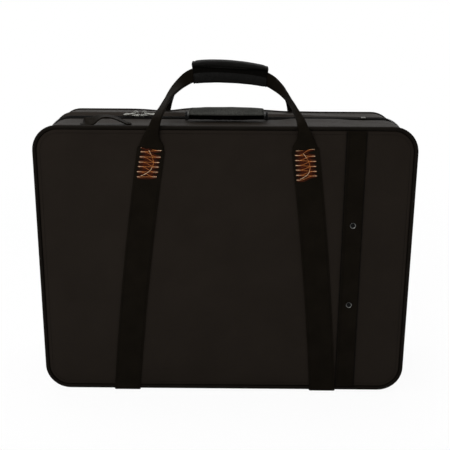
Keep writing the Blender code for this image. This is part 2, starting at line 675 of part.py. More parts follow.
def handle_wrap():
    """A padded wrap round both loops: up the back, over the top and lapped down over its own front edge."""
    half_y = LOOP_GAP / 2 + LOOP_THICKNESS + CLEARANCE + WRAP_THICKNESS / 2
    half_z = STRAP_WIDTH * LOOP_WIDTH_SHARES[-1][1] / 2 + CLEARANCE + WRAP_THICKNESS / 2
    lap = WRAP_THICKNESS + WRAP_LAP_GAP
    points = [Vector((a * half_y, b * half_z)) for a, b in WRAP_SHARES]
    points += [Vector((a * half_y - lap, b * half_z)) for a, b in WRAP_LAP_SHARES]
    run = smooth_run(points, LOOP_STEPS)
    sides = [Vector((-ahead.y, ahead.x)) * (WRAP_THICKNESS / 2) for ahead in tangents(run)]
    section = [p + s for p, s in zip(run, sides)] + [p - s for p, s in reversed(list(zip(run, sides)))]
    line = [Vector(loop_place(share)) for share in loop_line()]
    loops = []
    for i in range(WRAP_STATIONS):
        x = WRAP_X + WRAP_LENGTH * (i / (WRAP_STATIONS - 1) - 1 / 2)
        after = next(n for n, point in enumerate(line) if point.x > x)
        behind, ahead = line[after - 1], line[after]
        height = behind.y + (ahead.y - behind.y) * (x - behind.x) / (ahead.x - behind.x)
        loops.append([(x, point.x, height + point.y) for point in section])
    piece("handle_wrap", "leatherette", loops, on="front_loop_axis")


def carry_loops():
    """Each loop folds outward on a line across the outer face of its webbing, just above the straps."""
    fold_y = PANEL_SPACING / 2 + CLEARANCE + WEBBING_THICKNESS
    axis("front_loop_axis", (0, -fold_y, STRAP_HEAD_Z))
    axis("rear_loop_axis", (0, fold_y, STRAP_HEAD_Z), parent="lid_axis")
    carry_loop("front_loop", -1, "front_loop_axis")
    carry_loop("rear_loop", 1, "rear_loop_axis")
    handle_wrap()


def top_handle():
    """A flat-lying padded grip on a steel core, whose pins turn in two brackets on the base's top wall."""
    axis("handle_axis", (HANDLE_X, HANDLE_AXIS_Y, HANDLE_AXIS_Z))
    centre = Vector((HANDLE_X, HANDLE_AXIS_Y - GRIP_REACH, HANDLE_AXIS_Z + GRIP_LIFT))
    loops = []
    for share, size in GRIP_TAPER_SHARES:
        loop = []
        for i in range(GRIP_SIDES):
            turn = math.tau * i / GRIP_SIDES
            offset = (GRIP_LENGTH * (share - 1 / 2), GRIP_WIDTH / 2 * size * math.cos(turn),
                      GRIP_HEIGHT / 2 * size * math.sin(turn))
            loop.append(centre + Vector(offset))
        loops.append(loop)
    grip = piece("handle_grip", "leatherette", loops, on="handle_axis")
    slot = Vector((GRIP_LENGTH / 2 + CUT_OVERRUN, CORE_WIDTH / 2 + CLEARANCE,
                   CORE_THICKNESS / 2 + CLEARANCE))
    bore = piece("grip_bore", "leatherette", block_loops(centre - slot, centre + slot), on="handle_axis")
    boolean(grip, bore, "DIFFERENCE")
    handle_core(centre)
    for hand, side in (("left", -1), ("right", 1)):
        handle_bracket(hand, side)


def handle_core(centre):
    """The steel bar through the grip, with a cheek and a pin at each end."""
    half = GRIP_LENGTH / 2 + CLEARANCE + CORE_CHEEK
    size = Vector((half, CORE_WIDTH / 2, CORE_THICKNESS / 2))
    core = piece("handle_core", "steel", block_loops(centre - size, centre + size), on="handle_axis")
    for hand, side in (("left", -1), ("right", 1)):
        near, far = HANDLE_X + side * (half - CORE_CHEEK), HANDLE_X + side * half
        outline = [(centre.y - CORE_WIDTH / 2, centre.z - CORE_THICKNESS / 2),
                   (HANDLE_AXIS_Y, HANDLE_AXIS_Z - CORE_WIDTH / 3),
                   (HANDLE_AXIS_Y + CORE_WIDTH / 3, HANDLE_AXIS_Z),
                   (HANDLE_AXIS_Y, HANDLE_AXIS_Z + CORE_WIDTH / 3), (centre.y, centre.z + CORE_WIDTH / 3),
                   (centre.y - CORE_WIDTH / 2, centre.z + CORE_THICKNESS / 2)]
        cheek = piece(f"core_cheek_{hand}", "steel", [[(x, y, z) for y, z in outline] for x in (near, far)],
                      on="handle_axis")
        boolean(core, cheek, "UNION")
        profile = [(PIN_RADIUS, -side * CORE_CHEEK / 2), (PIN_RADIUS, side * PIN_LENGTH)]
        pin = turned_loops((far, HANDLE_AXIS_Y, HANDLE_AXIS_Z), profile, SNAP_SIDES, "X")
        boolean(core, piece(f"core_pin_{hand}", "steel", pin, on="handle_axis"), "UNION")


def handle_bracket(hand, side):
    """A round-topped plastic lug on the top wall, bored for the handle's pin."""
    near = HANDLE_X + side * (GRIP_LENGTH / 2 + CORE_CHEEK + 2 * CLEARANCE)
    base_z = SHELL_TOP + CLEARANCE
    outline = [(HANDLE_AXIS_Y - BRACKET_WIDTH / 2, base_z), (HANDLE_AXIS_Y + BRACKET_WIDTH / 2, base_z)]
    for step in range(BRACKET_ROUND_STEPS + 1):
        turn = math.pi * step / BRACKET_ROUND_STEPS
        outline.append((HANDLE_AXIS_Y + BRACKET_WIDTH / 2 * math.cos(turn),
                        HANDLE_AXIS_Z + BRACKET_WIDTH / 2 * math.sin(turn)))
    loops = [[(x, y, z) for y, z in outline] for x in (near, near + side * BRACKET_LENGTH)]
    bracket = piece(f"handle_bracket_{hand}", "black_plastic", loops)
    bore = turned_loops((near, HANDLE_AXIS_Y, HANDLE_AXIS_Z), [
        (PIN_RADIUS + CLEARANCE, -side * CUT_OVERRUN),
        (PIN_RADIUS + CLEARANCE, side * (BRACKET_LENGTH + CUT_OVERRUN)),
    ], SNAP_SIDES, "X")
    boolean(bracket, piece(f"bracket_bore_{hand}", "black_plastic", bore), "DIFFERENCE")


def hook_loop():
    """A low arch of webbing sewn down at both ends, near the top wall's front edge."""
    y = FRONT_Y + HOOK_SETBACK + HOOK_WIDTH / 2
    points = []
    for along, up in HOOK_SHARES:
        x = HOOK_LEFT_X + (HOOK_RIGHT_X - HOOK_LEFT_X) * along
        points.append(Vector((x, y, SHELL_TOP + WEB_CENTRE + HOOK_RISE * up)))
    path = smooth_run(points, 2)
    heading = tangents(path)
    normals = [Vector((-ahead.z, 0, ahead.x)) for ahead in heading]
    count = len(path)
    loops = band_loops(path, heading, normals, [HOOK_WIDTH] * count, [WEBBING_THICKNESS] * count)
    piece("hook_loop", "webbing", loops)


def lane_edges(lane):
    """Lowest and highest Z of one instrument lane, between the lining and the dividers."""
    low = SHELL_BOTTOM + INNER_INSET
    high = SHELL_TOP - INNER_INSET
    pitch = (high - low + DIVIDER_THICKNESS) / LANES
    start = low + pitch * lane
    return start, start + pitch - DIVIDER_THICKNESS


def dividers():
    half = SHELL_WIDTH / 2 - INNER_INSET - CLEARANCE
    for lane in range(LANES - 1):
        z = lane_edges(lane)[1]
        low = (-half, LANE_FLOOR_Y + CLEARANCE, z)
        high = (half, BASE_EDGE_Y, z + DIVIDER_THICKNESS)
        divider = piece(f"divider_{lane + 1}", "plush", block_loops(low, high))
        rounding = divider.modifiers.new("rounding", "BEVEL")
        rounding.width = DIVIDER_EDGE
        rounding.segments = 2


def instrument_rests():
    """A padded block across each lane, notched for the instrument's body."""
    for lane in range(LANES):
        low, high = lane_edges(lane)
        low, high = low + CLEARANCE, high - CLEARANCE
        middle = (low + high) / 2
        floor = LANE_FLOOR_Y + CLEARANCE
        top = floor + REST_DEPTH
        outline = [(top, low), (floor, low), (floor, high), (top, high)]
        for step in range(REST_NOTCH_STEPS + 1):
            turn = math.pi * step / REST_NOTCH_STEPS
            outline.append((top - REST_NOTCH_RADIUS * math.sin(turn),
                            middle + REST_NOTCH_RADIUS * math.cos(turn)))
        loops = [[(x, y, z) for y, z in outline] for x in (REST_X, REST_X + REST_LENGTH)]
        piece(f"instrument_rest_{lane + 1}", "plush", loops)


def base():
    base_shell()
    lining("base_lining", BASE_FLOOR_Y, BASE_EDGE_Y, 1)
    piping("base_piping", FRONT_Y, -1)
    pocket_panel()
    pocket_strip()
    dividers()
    instrument_rests()
    zipper_tape("zipper_tape_base", -1)
    zipper_end_stop()
    hinge_tape("hinge_tape_base", -1)
    feet("front", FRONT_Y + FOOT_SETBACK)
    panel_straps("front", -1)
    hook_loop()
    top_handle()


def lid():
    axis("lid_axis", (0, SPLIT_Y, HINGE_AXIS_Z))
    lid_shell()
    lining("lid_lining", LID_FLOOR_Y, LID_EDGE_Y, -1, on="lid_axis")
    piping("lid_piping", BACK_Y, 1, on="lid_axis")
    back_panel()
    zipper_tape("zipper_tape_lid", 1, on="lid_axis")
    hinge_tape("hinge_tape_lid", 1, on="lid_axis")
    feet("rear", BACK_Y - FOOT_SETBACK, on="lid_axis")
    panel_straps("rear", 1, on="lid_axis")


clear_scene()
base()
lid()
carry_loops()
for side_name in SLIDER_X:
    zipper_slider(side_name)
    zipper_pull(side_name)
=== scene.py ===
"""A soft-sided case for three trumpets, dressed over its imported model.

The sections follow the case as it is sewn and put together: room, case halves, face panels, piping,
lining, zipper, straps and carry loops, stitch boxes, handle wrap, top handle, hook loop, sliders and
pulls, pocket strip, underneath. Lengths are in metres, in the model's own frame.
"""

import math

import bmesh
import bpy
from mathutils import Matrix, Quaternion, Vector, noise


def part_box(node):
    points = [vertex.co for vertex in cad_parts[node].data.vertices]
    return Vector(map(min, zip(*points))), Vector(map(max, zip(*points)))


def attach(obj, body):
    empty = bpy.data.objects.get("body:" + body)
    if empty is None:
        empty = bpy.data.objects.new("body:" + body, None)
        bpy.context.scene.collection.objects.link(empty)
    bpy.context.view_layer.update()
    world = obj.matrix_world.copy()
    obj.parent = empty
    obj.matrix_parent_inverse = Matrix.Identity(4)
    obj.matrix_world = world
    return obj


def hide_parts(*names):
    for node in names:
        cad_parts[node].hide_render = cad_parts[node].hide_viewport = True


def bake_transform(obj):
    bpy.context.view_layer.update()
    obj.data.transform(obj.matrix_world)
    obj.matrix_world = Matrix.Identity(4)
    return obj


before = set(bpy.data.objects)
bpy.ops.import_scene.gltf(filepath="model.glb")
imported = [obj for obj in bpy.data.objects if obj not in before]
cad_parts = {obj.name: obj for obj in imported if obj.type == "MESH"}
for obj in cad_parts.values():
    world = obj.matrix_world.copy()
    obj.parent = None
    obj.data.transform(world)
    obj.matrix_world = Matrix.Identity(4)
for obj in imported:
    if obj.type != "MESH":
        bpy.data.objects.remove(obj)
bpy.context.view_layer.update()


# Room: a pale floor that melts into a white surround and keeps the case's soft shadow. The camera sees
# through it, so that an opened lid shows below. One wide softbox hangs overhead and one stands in
# front at the left. The camera is where the picture was taken from.

class Level:
    """A number inside a node tree. Python's arithmetic on it adds Math nodes."""

    def __init__(self, graph, socket):
        self.graph = graph
        self.socket = socket

    def math(self, operation, *numbers):
        return self.graph.node("ShaderNodeMath", {"operation": operation}, dict(enumerate(numbers)))

    def __add__(self, other):
        return self.math("ADD", self, other)

    def __sub__(self, other):
        return self.math("SUBTRACT", self, other)

    def __rsub__(self, other):
        return self.math("SUBTRACT", other, self)

    def __mul__(self, other):
        return self.math("MULTIPLY", self, other)

    def __truediv__(self, other):
        return self.math("DIVIDE", self, other)

    def __rtruediv__(self, other):
        return self.math("DIVIDE", other, self)

    __radd__ = __add__
    __rmul__ = __mul__


class Graph:
    """The node tree of a material or of the surround."""

    def __init__(self, owner):
        owner.use_nodes = True
        self.tree = owner.node_tree

    def node(self, kind, settings=None, inputs=None, out=0):
        """Adds a node: its settings first, then the values or links of its sockets."""
        added = self.tree.nodes.new(kind)
        for name, value in (settings or {}).items():
            setattr(added, name, value)
        for socket, value in (inputs or {}).items():
            if isinstance(value, Level):
                self.tree.links.new(value.socket, added.inputs[socket])
            else:
                added.inputs[socket].default_value = value
        if isinstance(out, tuple):
            return [Level(self, added.outputs[one]) for one in out]
        return Level(self, added.outputs[out])


class Finish(Graph):
    """A material on a Principled shader. Fixed settings go on the shader's own sockets."""

    def __init__(self, name, fixed=None):
        self.material = bpy.data.materials.new(name)
        super().__init__(self.material)
        self.shader = self.tree.nodes["Principled BSDF"]
        for socket, value in (fixed or {}).items():
            self.shader.inputs[socket].default_value = value

    def colours(self, factor, first, last):
        """From the first colour to the last as the factor goes from 0 to 1."""
        first, last = (c if isinstance(c, Level) else (*c, 1) for c in (first, last))
        return self.node("ShaderNodeMix", {"data_type": "RGBA"}, {0: factor, 6: first, 7: last}, 2)

    def feed(self, socket, level):
        self.tree.links.new(level.socket, self.shader.inputs[socket])

    def tone(self, factor, dark, light, rough, spread):
        """Colour and roughness that both follow the factor."""
        self.feed("Base Color", self.colours(factor, dark, light))
        self.feed("Roughness", rough + factor * spread)

    def bump(self, height, depth, strength=1.0, over=None):
        """Relief of that depth where the height goes from 0 to 1, on top of another relief if given."""
        inputs = {"Strength": strength, "Distance": depth, "Height": height}
        if over:
            inputs["Normal"] = over
        bent = self.node("ShaderNodeBump", {}, inputs)
        self.feed("Normal", bent)
        return bent

    def on(self, thing):
        if thing.material_slots:
            for held in thing.material_slots:
                held.material = self.material
        else:
            thing.data.materials.append(self.material)
        return thing


def lamp(name, size, watts, place, target):
    light = bpy.data.lights.new(name, "AREA")
    light.shape = "RECTANGLE"
    light.size, light.size_y = size
    light.energy = watts
    holder = bpy.data.objects.new(name, light)
    bpy.context.collection.objects.link(holder)
    holder.location = place
    holder.rotation_euler = (Vector(target) - Vector(place)).to_track_quat("-Z", "Y").to_euler()


lamp("overhead_softbox", (1.8, 1.2), 24, (-0.15, 0.30, 2.0), (0, 0, 0.3))
lamp("front_softbox", (1.8, 1.2), 25, (-0.9, -1.75, 1.5), (0, 0, 0.2))

AMBIENT, GLOSSY_EXTRA = 0.5, 0.35

surround = bpy.data.worlds.new("surround")
bpy.context.scene.world = surround
sky = Graph(surround)
seen, passed, glossy = sky.node("ShaderNodeLightPath",
                                out=("Is Camera Ray", "Is Transmission Ray", "Is Glossy Ray"))
strength = seen.math("MAXIMUM", seen.math("MAXIMUM", seen, passed), glossy * GLOSSY_EXTRA + AMBIENT)
sky.tree.links.new(strength.socket, sky.tree.nodes["Background"].inputs["Strength"])
sky.tree.nodes["Background"].inputs["Color"].default_value = (1, 1, 1, 1)

floor_mesh = bpy.data.meshes.new("floor")
floor_mesh.from_pydata([(-6, -4, 0), (6, -4, 0), (6, 8, 0), (-6, 8, 0)], [], [(0, 1, 2, 3)])
floor = bpy.data.objects.new("floor", floor_mesh)
bpy.context.collection.objects.link(floor)
paper = Finish("floor_paper", {"Base Color": (0.86, 0.86, 0.86, 1), "Roughness": 0.9,
                               "Specular IOR Level": 0.1})
seen, passed = paper.node("ShaderNodeLightPath", out=("Is Camera Ray", "Is Transmission Ray"))
clear = paper.node("ShaderNodeBsdfTransparent", {}, {"Color": (1, 1, 1, 1)})
place = paper.node("ShaderNodeTexCoord", out="Object")
away = paper.node("ShaderNodeVectorMath", {"operation": "LENGTH"}, {0: place}, 1)
melt = paper.node("ShaderNodeMapRange", {}, {0: away, 1: 0.5, 2: 1.6, 3: 0.94, 4: 1.0})
share = seen.math("MAXIMUM", seen, passed) * melt
mixed = paper.node("ShaderNodeMixShader", {}, {0: share, 2: clear})
paper.tree.links.new(paper.shader.outputs[0], mixed.socket.node.inputs[1])
paper.tree.links.new(mixed.socket, paper.tree.nodes["Material Output"].inputs["Surface"])
paper.on(floor)

PITCH_DOWN, TURN_LEFT, LEAN = 0.2693, 0.00643, 0.00497
FOCAL_PIXELS, PICTURE_PIXELS = 743.9, 450

lens = bpy.data.cameras.new("camera")
lens.sensor_width = 36
lens.lens = 36 * FOCAL_PIXELS / PICTURE_PIXELS
camera = bpy.data.objects.new("camera", lens)
bpy.context.collection.objects.link(camera)
camera.location = (0.00736, -1.15882, 0.56687)
aim = Quaternion((0, 0, 1), TURN_LEFT) @ Quaternion((1, 0, 0), math.pi / 2 - PITCH_DOWN)
camera.rotation_euler = (aim @ Quaternion((0, 0, 1), LEAN)).to_euler()
bpy.context.scene.camera = camera
bpy.context.scene.view_settings.view_transform = "Standard"


# Case halves: two stiffened trays covered in heavy brown-black nylon, the base in front and the
# lid behind. The cloth is drawn tight over the edges and lies a little hollow along the walls.

SHELL_WIDTH, SHELL_HEIGHT = 0.556, 0.412
SHELL_BOTTOM = 0.006
SHELL_TOP = SHELL_BOTTOM + SHELL_HEIGHT
SHELL_MID_Z = SHELL_BOTTOM + SHELL_HEIGHT / 2
CORNER_RADIUS = 0.036
FACE_Y = 0.0925
SPLIT_Y = 0.008
BASE_EDGE_Y, LID_EDGE_Y = 0.0075, 0.0085
BASE_INSIDE_Y, LID_INSIDE_Y = -0.0815, 0.0862
SEAM_Y, SEAM_LIP_Y = 0.0882, 0.0902
POCKET_FLOOR_Y, POCKET_INSET = -0.0855, 0.010
FLAT_INSET = 0.06
WALL = 0.004
SEAM_INSET = 0.0043
WALL_ROWS = 28


def around(inset, y, along_steps=64, up_steps=46, corner_steps=12):
    """The case's outline at one depth, drawn in by the inset, anticlockwise from the bottom right."""
    radius = max(CORNER_RADIUS - inset, 0.005)
    half_x = SHELL_WIDTH / 2 - inset - radius
    half_z = SHELL_HEIGHT / 2 - inset - radius
    corners = (((1, -1), -0.25, up_steps), ((1, 1), 0, along_steps),
               ((-1, 1), 0.25, up_steps), ((-1, -1), 0.5, along_steps))
    ring = []
    for (side_x, side_z), start, run in corners:
        centre = Vector((side_x * half_x, y, SHELL_MID_Z + side_z * half_z))
        for step in range(corner_steps + 1):
            turn = math.tau * (start + 0.25 * step / corner_steps)
            ring.append(centre + Vector((math.cos(turn), 0, math.sin(turn))) * radius)
        last = ring[-1]
        if side_x == side_z:
            onward = Vector((-2 * side_x * half_x, 0, 0))
        else:
            onward = Vector((0, 0, 2 * side_x * half_z))
        ring += [last + onward * (step / run) for step in range(1, run)]
    return ring


def skin(work, rings, closed=True, caps=True, joined=False, across=None):
    """Faces through rings of equally many points. The cloth map gives metres across and along."""
    cloth = work.loops.layers.uv.get("cloth") or work.loops.layers.uv.new("cloth")
    rows = [[work.verts.new(p) for p in ring] for ring in rings]
    count = len(rows[0])
    if across is None:
        across = [0.0]
        middle = rings[len(rings) // 2]
        for p, q in zip(middle, middle[1:] + middle[:1]):
            across.append(across[-1] + (q - p).length)
        across = [across] * (len(rings) + 1)
    rise = [0.0]
    for ring, after in zip(rings, rings[1:] + rings[:1]):
        rise.append(rise[-1] + sum((q - p).length for p, q in zip(ring[::5], after[::5])) / len(ring[::5]))
    for i in range(len(rows) if joined else len(rows) - 1):
        here, there = rows[i], rows[(i + 1) % len(rows)]
        first, second = across[i], across[(i + 1) % len(rows)]
        for j in range(count if closed else count - 1):
            k = (j + 1) % count
            face = work.faces.new((here[j], here[k], there[k], there[j]))
            spots = ((first[j], rise[i]), (first[j + 1], rise[i]),
                     (second[j + 1], rise[i + 1]), (second[j], rise[i + 1]))
            for corner, spot in zip(face.loops, spots):
                corner[cloth].uv = spot
    if caps and closed and not joined:
        for row in (rows[0], rows[-1]):
            for corner in work.faces.new(row).loops:
                corner[cloth].uv = (corner.vert.co.x, corner.vert.co.z)


def sew_up(work, name, sharp, outward=True):
    """Ends the mesh work: a smooth-shaded piece, with sharp edges over that angle."""
    if outward:
        bmesh.ops.recalc_face_normals(work, faces=work.faces)
    mesh = bpy.data.meshes.new(name)
    work.to_mesh(mesh)
    work.free()
    mesh.shade_smooth()
    mesh.set_sharp_from_angle(angle=math.radians(sharp))
    made = bpy.data.objects.new(name, mesh)
    bpy.context.collection.objects.link(made)
    return made


def lofted(name, rings, sharp, **drawn):
    """A piece skinned over its rings."""
    work = bmesh.new()
    skin(work, rings, **drawn)
    return sew_up(work, name, sharp)


def fit(thing, finish, slot, body, *nodes):
    """Gives a piece its finish, and its place on the case: the solids it stands for and its body."""
    finish.on(thing)
    if nodes:
        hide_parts(*nodes)
    if body:
        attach(thing, body)
    return thing


def weave(finish, across, along):
    """Height from 0 to 1 of a plain weave, with threads that far apart, on the cloth's own places."""
    place = finish.node("ShaderNodeUVMap", {"uv_map": "cloth"})
    u, v = finish.node("ShaderNodeSeparateXYZ", {}, {0: place}, (0, 1))
    u, v = u / across, v / along
    ridge_u = (u * math.pi).math("SINE", u * math.pi)
    ridge_v = (v * math.pi).math("SINE", v * math.pi)
    ridge_u = ridge_u.math("ABSOLUTE", ridge_u)
    ridge_v = ridge_v.math("ABSOLUTE", ridge_v)
    over = u.math("PINGPONG", u.math("FLOOR", u) + v.math("FLOOR", v), 1)
    lengthwise = ridge_u * (ridge_v * 0.5 + 0.5)
    crosswise = ridge_v * (ridge_u * 0.5 + 0.5)
    return lengthwise * over + crosswise * (1 - over)


def specks(finish, scale, detail=2.0):
    """Soft specks, about that many to the metre, fixed to the piece."""
    place = finish.node("ShaderNodeTexCoord", out="Object")
    return finish.node("ShaderNodeTexNoise", {}, {"Vector": place, "Scale": scale, "Detail": detail})


def mottle(finish, size, detail=3.0, low=0.35, high=0.65):
    """Blotches of about that size, from 0 to 1, fixed to the piece."""
    return finish.node("ShaderNodeMapRange", {}, {0: specks(finish, 1 / size, detail), 1: low, 2: high})


nylon = Finish("nylon_cloth", {"Specular IOR Level": 0.10, "Specular Tint": (1, 0.84, 0.70, 1)})
threads = weave(nylon, 0.0009, 0.0009)
patches = mottle(nylon, 0.09)
dark = nylon.colours(patches, (0.0030, 0.0021, 0.0015), (0.0042, 0.0031, 0.0023))
light = nylon.colours(patches, (0.0082, 0.0060, 0.0045), (0.0105, 0.0079, 0.0060))
nylon.feed("Base Color", nylon.colours(threads, dark, light))
nylon.feed("Roughness", 0.66 - threads * 0.12 + patches * 0.05)
slack = nylon.bump(mottle(nylon, 0.055, 1.5, 0.3, 0.7), 0.0022)
nylon.bump(threads, 0.00013, 0.5, slack)


def wall_rings(edge_y, seam_y):
    """The outer wall from the split to the piping, tight at both and hollow by under a millimetre between."""
    way = 1 if seam_y > edge_y else -1
    rings = [around(0.0006, edge_y)]
    for row in range(WALL_ROWS + 1):
        share = row / WALL_ROWS
        y = edge_y + way * 0.0006 + (seam_y - edge_y - way * 0.0018) * share
        hollow = math.sin(math.pi * share)
        ring = []
        for tight, inner in zip(around(0, y), around(0.001, y)):
            wave = noise.noise(tight * 9) * 0.5 + 0.5
            ring.append(tight + (inner - tight) * (0.15 + 0.65 * hollow * wave))
        rings.append(ring)
    return rings + [around(0.0008, seam_y - way * 0.0004), around(0.003, seam_y), around(SEAM_INSET, seam_y)]


def clamped(share):
    return max(0.0, min(1.0, share))


def smooth_step(share):
    share = clamped(share)
    return share * share * (3 - 2 * share)


PADDING_FOOT_Z = 0.37
LID_CREST_LEFT, LID_CREST_FALL = 0.0074, 0.0056
LID_REAR, LID_REAR_HUMP, LID_REAR_FALL = 0.0030, 0.0022, 0.0034
STRAPS_HOLD_X, STRAPS_HOLD_REACH = (-0.104, 0.113), 0.030
BASE_ROLL = 0.0028


def swollen(p):
    """Lifts a point of the padded top. On the lid a roll stands up behind the zipper and falls away to
    the back, where the carry straps hold it down. On the base a lower one lies right of the handle."""
    top = clamped((p.z - PADDING_FOOT_Z) / (SHELL_TOP - PADDING_FOOT_Z)) ** 2
    roll = smooth_step((p.y - 0.0182) / 0.0068)
    back = clamped((p.y - 0.025) / 0.066)
    crest = LID_CREST_LEFT - LID_CREST_FALL * smooth_step((p.x + 0.02) / 0.27)
    held = sum(math.exp(-((p.x - x) / STRAPS_HOLD_REACH) ** 2) for x in STRAPS_HOLD_X)
    rear = LID_REAR + LID_REAR_HUMP * math.exp(-((p.x + 0.04) / 0.06) ** 2)
    rear = (rear - LID_REAR_FALL * smooth_step((p.x - 0.03) / 0.12)) * (1 - 0.9 * min(1, held))
    front = smooth_step((-0.0030 - p.y) / 0.0075) * clamped((p.y + 0.084) / 0.07)
    along = smooth_step((p.x - 0.072) / 0.035) * (1 - 0.75 * smooth_step((p.x - 0.165) / 0.04))
    return p + Vector((0, 0, top * (roll * (crest + (rear - crest) * back) + BASE_ROLL * front * along)))


def shell(name, rings, node, body):
    raised = [[swollen(p) for p in ring] for ring in rings]
    fit(lofted(name, raised, 50), nylon, "nylon", body, node)


shell("base_cloth",
      [around(FLAT_INSET, BASE_INSIDE_Y), around(WALL, BASE_INSIDE_Y), around(WALL, BASE_EDGE_Y)]
      + wall_rings(BASE_EDGE_Y, -SEAM_Y)
      + [around(SEAM_INSET, -SEAM_LIP_Y), around(POCKET_INSET, -SEAM_LIP_Y),
         around(POCKET_INSET, POCKET_FLOOR_Y), around(FLAT_INSET, POCKET_FLOOR_Y)],
      "base_shell", "base")
shell("lid_cloth",
      [around(FLAT_INSET, LID_INSIDE_Y), around(WALL, LID_INSIDE_Y), around(WALL, LID_EDGE_Y)]
      + wall_rings(LID_EDGE_Y, SEAM_Y)
      + [around(SEAM_INSET, SEAM_LIP_Y), around(FLAT_INSET, SEAM_LIP_Y)],
      "lid_shell", "lid")


# Face panels: foam-backed nylon, cut a little inside the outline and sewn in behind the piping, with
# a top-stitched edge. The front one has the tall bound mouth of the sheet-music pocket.

MOUTH_LEFT, MOUTH_RIGHT = 0.177, 0.185
MOUTH_FOOT, MOUTH_HEAD = 0.030, 0.394
STRIP_LEFT = 0.1755
PUCKER_REACH, PUCKER_DEPTH = 0.018, 0.0007
ROLL_DEPTH, ROLL_REACH = 0.0011, 0.0018
SLACK_DEPTH, SLACK_REACH = 0.0004, 0.03
TURNED_IN, TOP_STITCH_INSET = 0.0019, 0.0095


def strand(work, path, radii, normals, sides=6, squeeze=1.0):
    """A thread along the path, closed at both ends. Its cloth map goes from 0 to 1 round it, and
    gives metres along it."""
    ahead = path[1:] + path[-1:]
    behind = path[:1] + path[:-1]
    rings = []
    for point, before, after, radius, normal in zip(path, behind, ahead, radii, normals):
        across = (after - before).cross(normal).normalized()
        ring = []
        for i in range(sides):
            turn = math.tau * i / sides
            ring.append(point + (across * math.cos(turn) + normal * (math.sin(turn) * squeeze)) * radius)
        rings.append(ring)
    skin(work, rings, across=[[i / sides for i in range(sides + 1)]] * len(rings))


def paced(points, normals, step):
    """Even paces along a run of points: the place and the normal at each."""
    places, carried = [(points[0], normals[0])], 0.0
    for p, q, n, m in zip(points, points[1:], normals, normals[1:]):
        length = (q - p).length
        while carried + length >= step:
            share = (step - carried) / length
            p, n, length, carried = p.lerp(q, share), n.lerp(m, share).normalized(), length * (1 - share), 0.0
            places.append((p, n))
        carried += length
    return places


def stitches(name, runs, finish, body, long=0.0029, apart=0.0009, radius=0.00032):
    """Sewing thread along each run of points and normals: short stitches that dip in at both ends."""
    work = bmesh.new()
    for points, normals in runs:
        places = paced(points, normals, (long + apart) / 2)
        for (p, n), (q, _) in zip(places[::2], places[1::2]):
            q = p + (q - p).normalized() * long
            path = [p.lerp(q, share) + n * (radius * rise)
                    for share, rise in ((0, -0.7), (0.2, 0.2), (0.5, 0.5), (0.8, 0.2), (1, -0.7))]
            strand(work, path, [radius * size for size in (0.3, 0.9, 1, 0.9, 0.3)], [n] * 5, 5)
    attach(finish.on(sew_up(work, name, 60)), body)


def speckled(name, fixed, grain, dark, light, rough, spread):
    """A finish whose colour and roughness follow fine specks of that grain: the finish and its specks."""
    finish = Finish(name, fixed)
    dots = specks(finish, *grain)
    finish.tone(dots, dark, light, rough, spread)
    return finish, dots


black_thread, _ = speckled("black_thread", {"Specular IOR Level": 0.03}, (2600.0, 2.0),
                           (0.0006, 0.0005, 0.0004), (0.0024, 0.0019, 0.0014), 0.42, 0.25)


def edge_distance(x, z, inset):
    """How far a point of the face lies in from the case's outline less the inset."""
    radius = CORNER_RADIUS - inset
    past_x = abs(x) - (SHELL_WIDTH / 2 - inset - radius)
    past_z = abs(z - SHELL_MID_Z) - (SHELL_HEIGHT / 2 - inset - radius)
    corner = math.hypot(max(past_x, 0), max(past_z, 0))
    return radius - corner - min(max(past_x, past_z), 0)


def panel_places():
    """Columns across the panel's full width, and rows with the half width of each."""
    half_x = SHELL_WIDTH / 2 - SEAM_INSET
    half_z = SHELL_HEIGHT / 2 - SEAM_INSET
    radius = CORNER_RADIUS - SEAM_INSET
    columns = [half_x - gap for gap in (0, 0.0004, 0.001, 0.002, 0.004, 0.0075)]
    columns += [-x for x in columns] + [MOUTH_LEFT, MOUTH_RIGHT]
    columns += [x for x in (i * 0.006 for i in range(-44, 45))
                if min(abs(x - MOUTH_LEFT), abs(x - MOUTH_RIGHT)) > 0.0015]
    rise = half_z - radius
    rows = [radius * math.sin(math.pi / 2 * step / 12) + rise for step in range(13)]
    rows += [MOUTH_HEAD - SHELL_MID_Z]
    rows += [rise * step / 29 for step in range(29)]
    rows = sorted({round(z, 6) for z in rows} | {round(-z, 6) for z in rows})
    widths = []
    for z in rows:
        past = max(0, abs(z) - rise)
        widths.append(half_x - radius + math.sqrt(max(0, radius ** 2 - past ** 2)))
    return sorted({round(x, 6) for x in columns}), [z + SHELL_MID_Z for z in rows], widths, half_x


def pucker(x, z):
    """Small gathers in the panel beside the strip's sewn edge, deepest by the upper snap."""
    away = (STRIP_LEFT - x) / PUCKER_REACH
    if not 0 < away < 1:
        return 0.0
    height = math.exp(-((z - 0.27) / 0.045) ** 2) + 0.35 * math.exp(-((z - 0.15) / 0.04) ** 2)
    gathers = 0.5 + 0.5 * math.sin(z * 620 + 3 * noise.noise(Vector((x, 0, z)) * 60))
    return PUCKER_DEPTH * height * (1 - away) * gathers


def open_mouth(work, faces):
    """Takes out the panel's faces between the mouth's two long edges."""
    gone = []
    for face in faces:
        middle = face.calc_center_median()
        if MOUTH_LEFT - 0.003 < middle.x < MOUTH_RIGHT and MOUTH_FOOT < middle.z < MOUTH_HEAD:
            low, high = (min(v.co.x for v in face.verts), max(v.co.x for v in face.verts))
            if high - low > 0.005 and low > MOUTH_LEFT - 0.0025:
                gone.append(face)
    bmesh.ops.delete(work, geom=gone, context="FACES")


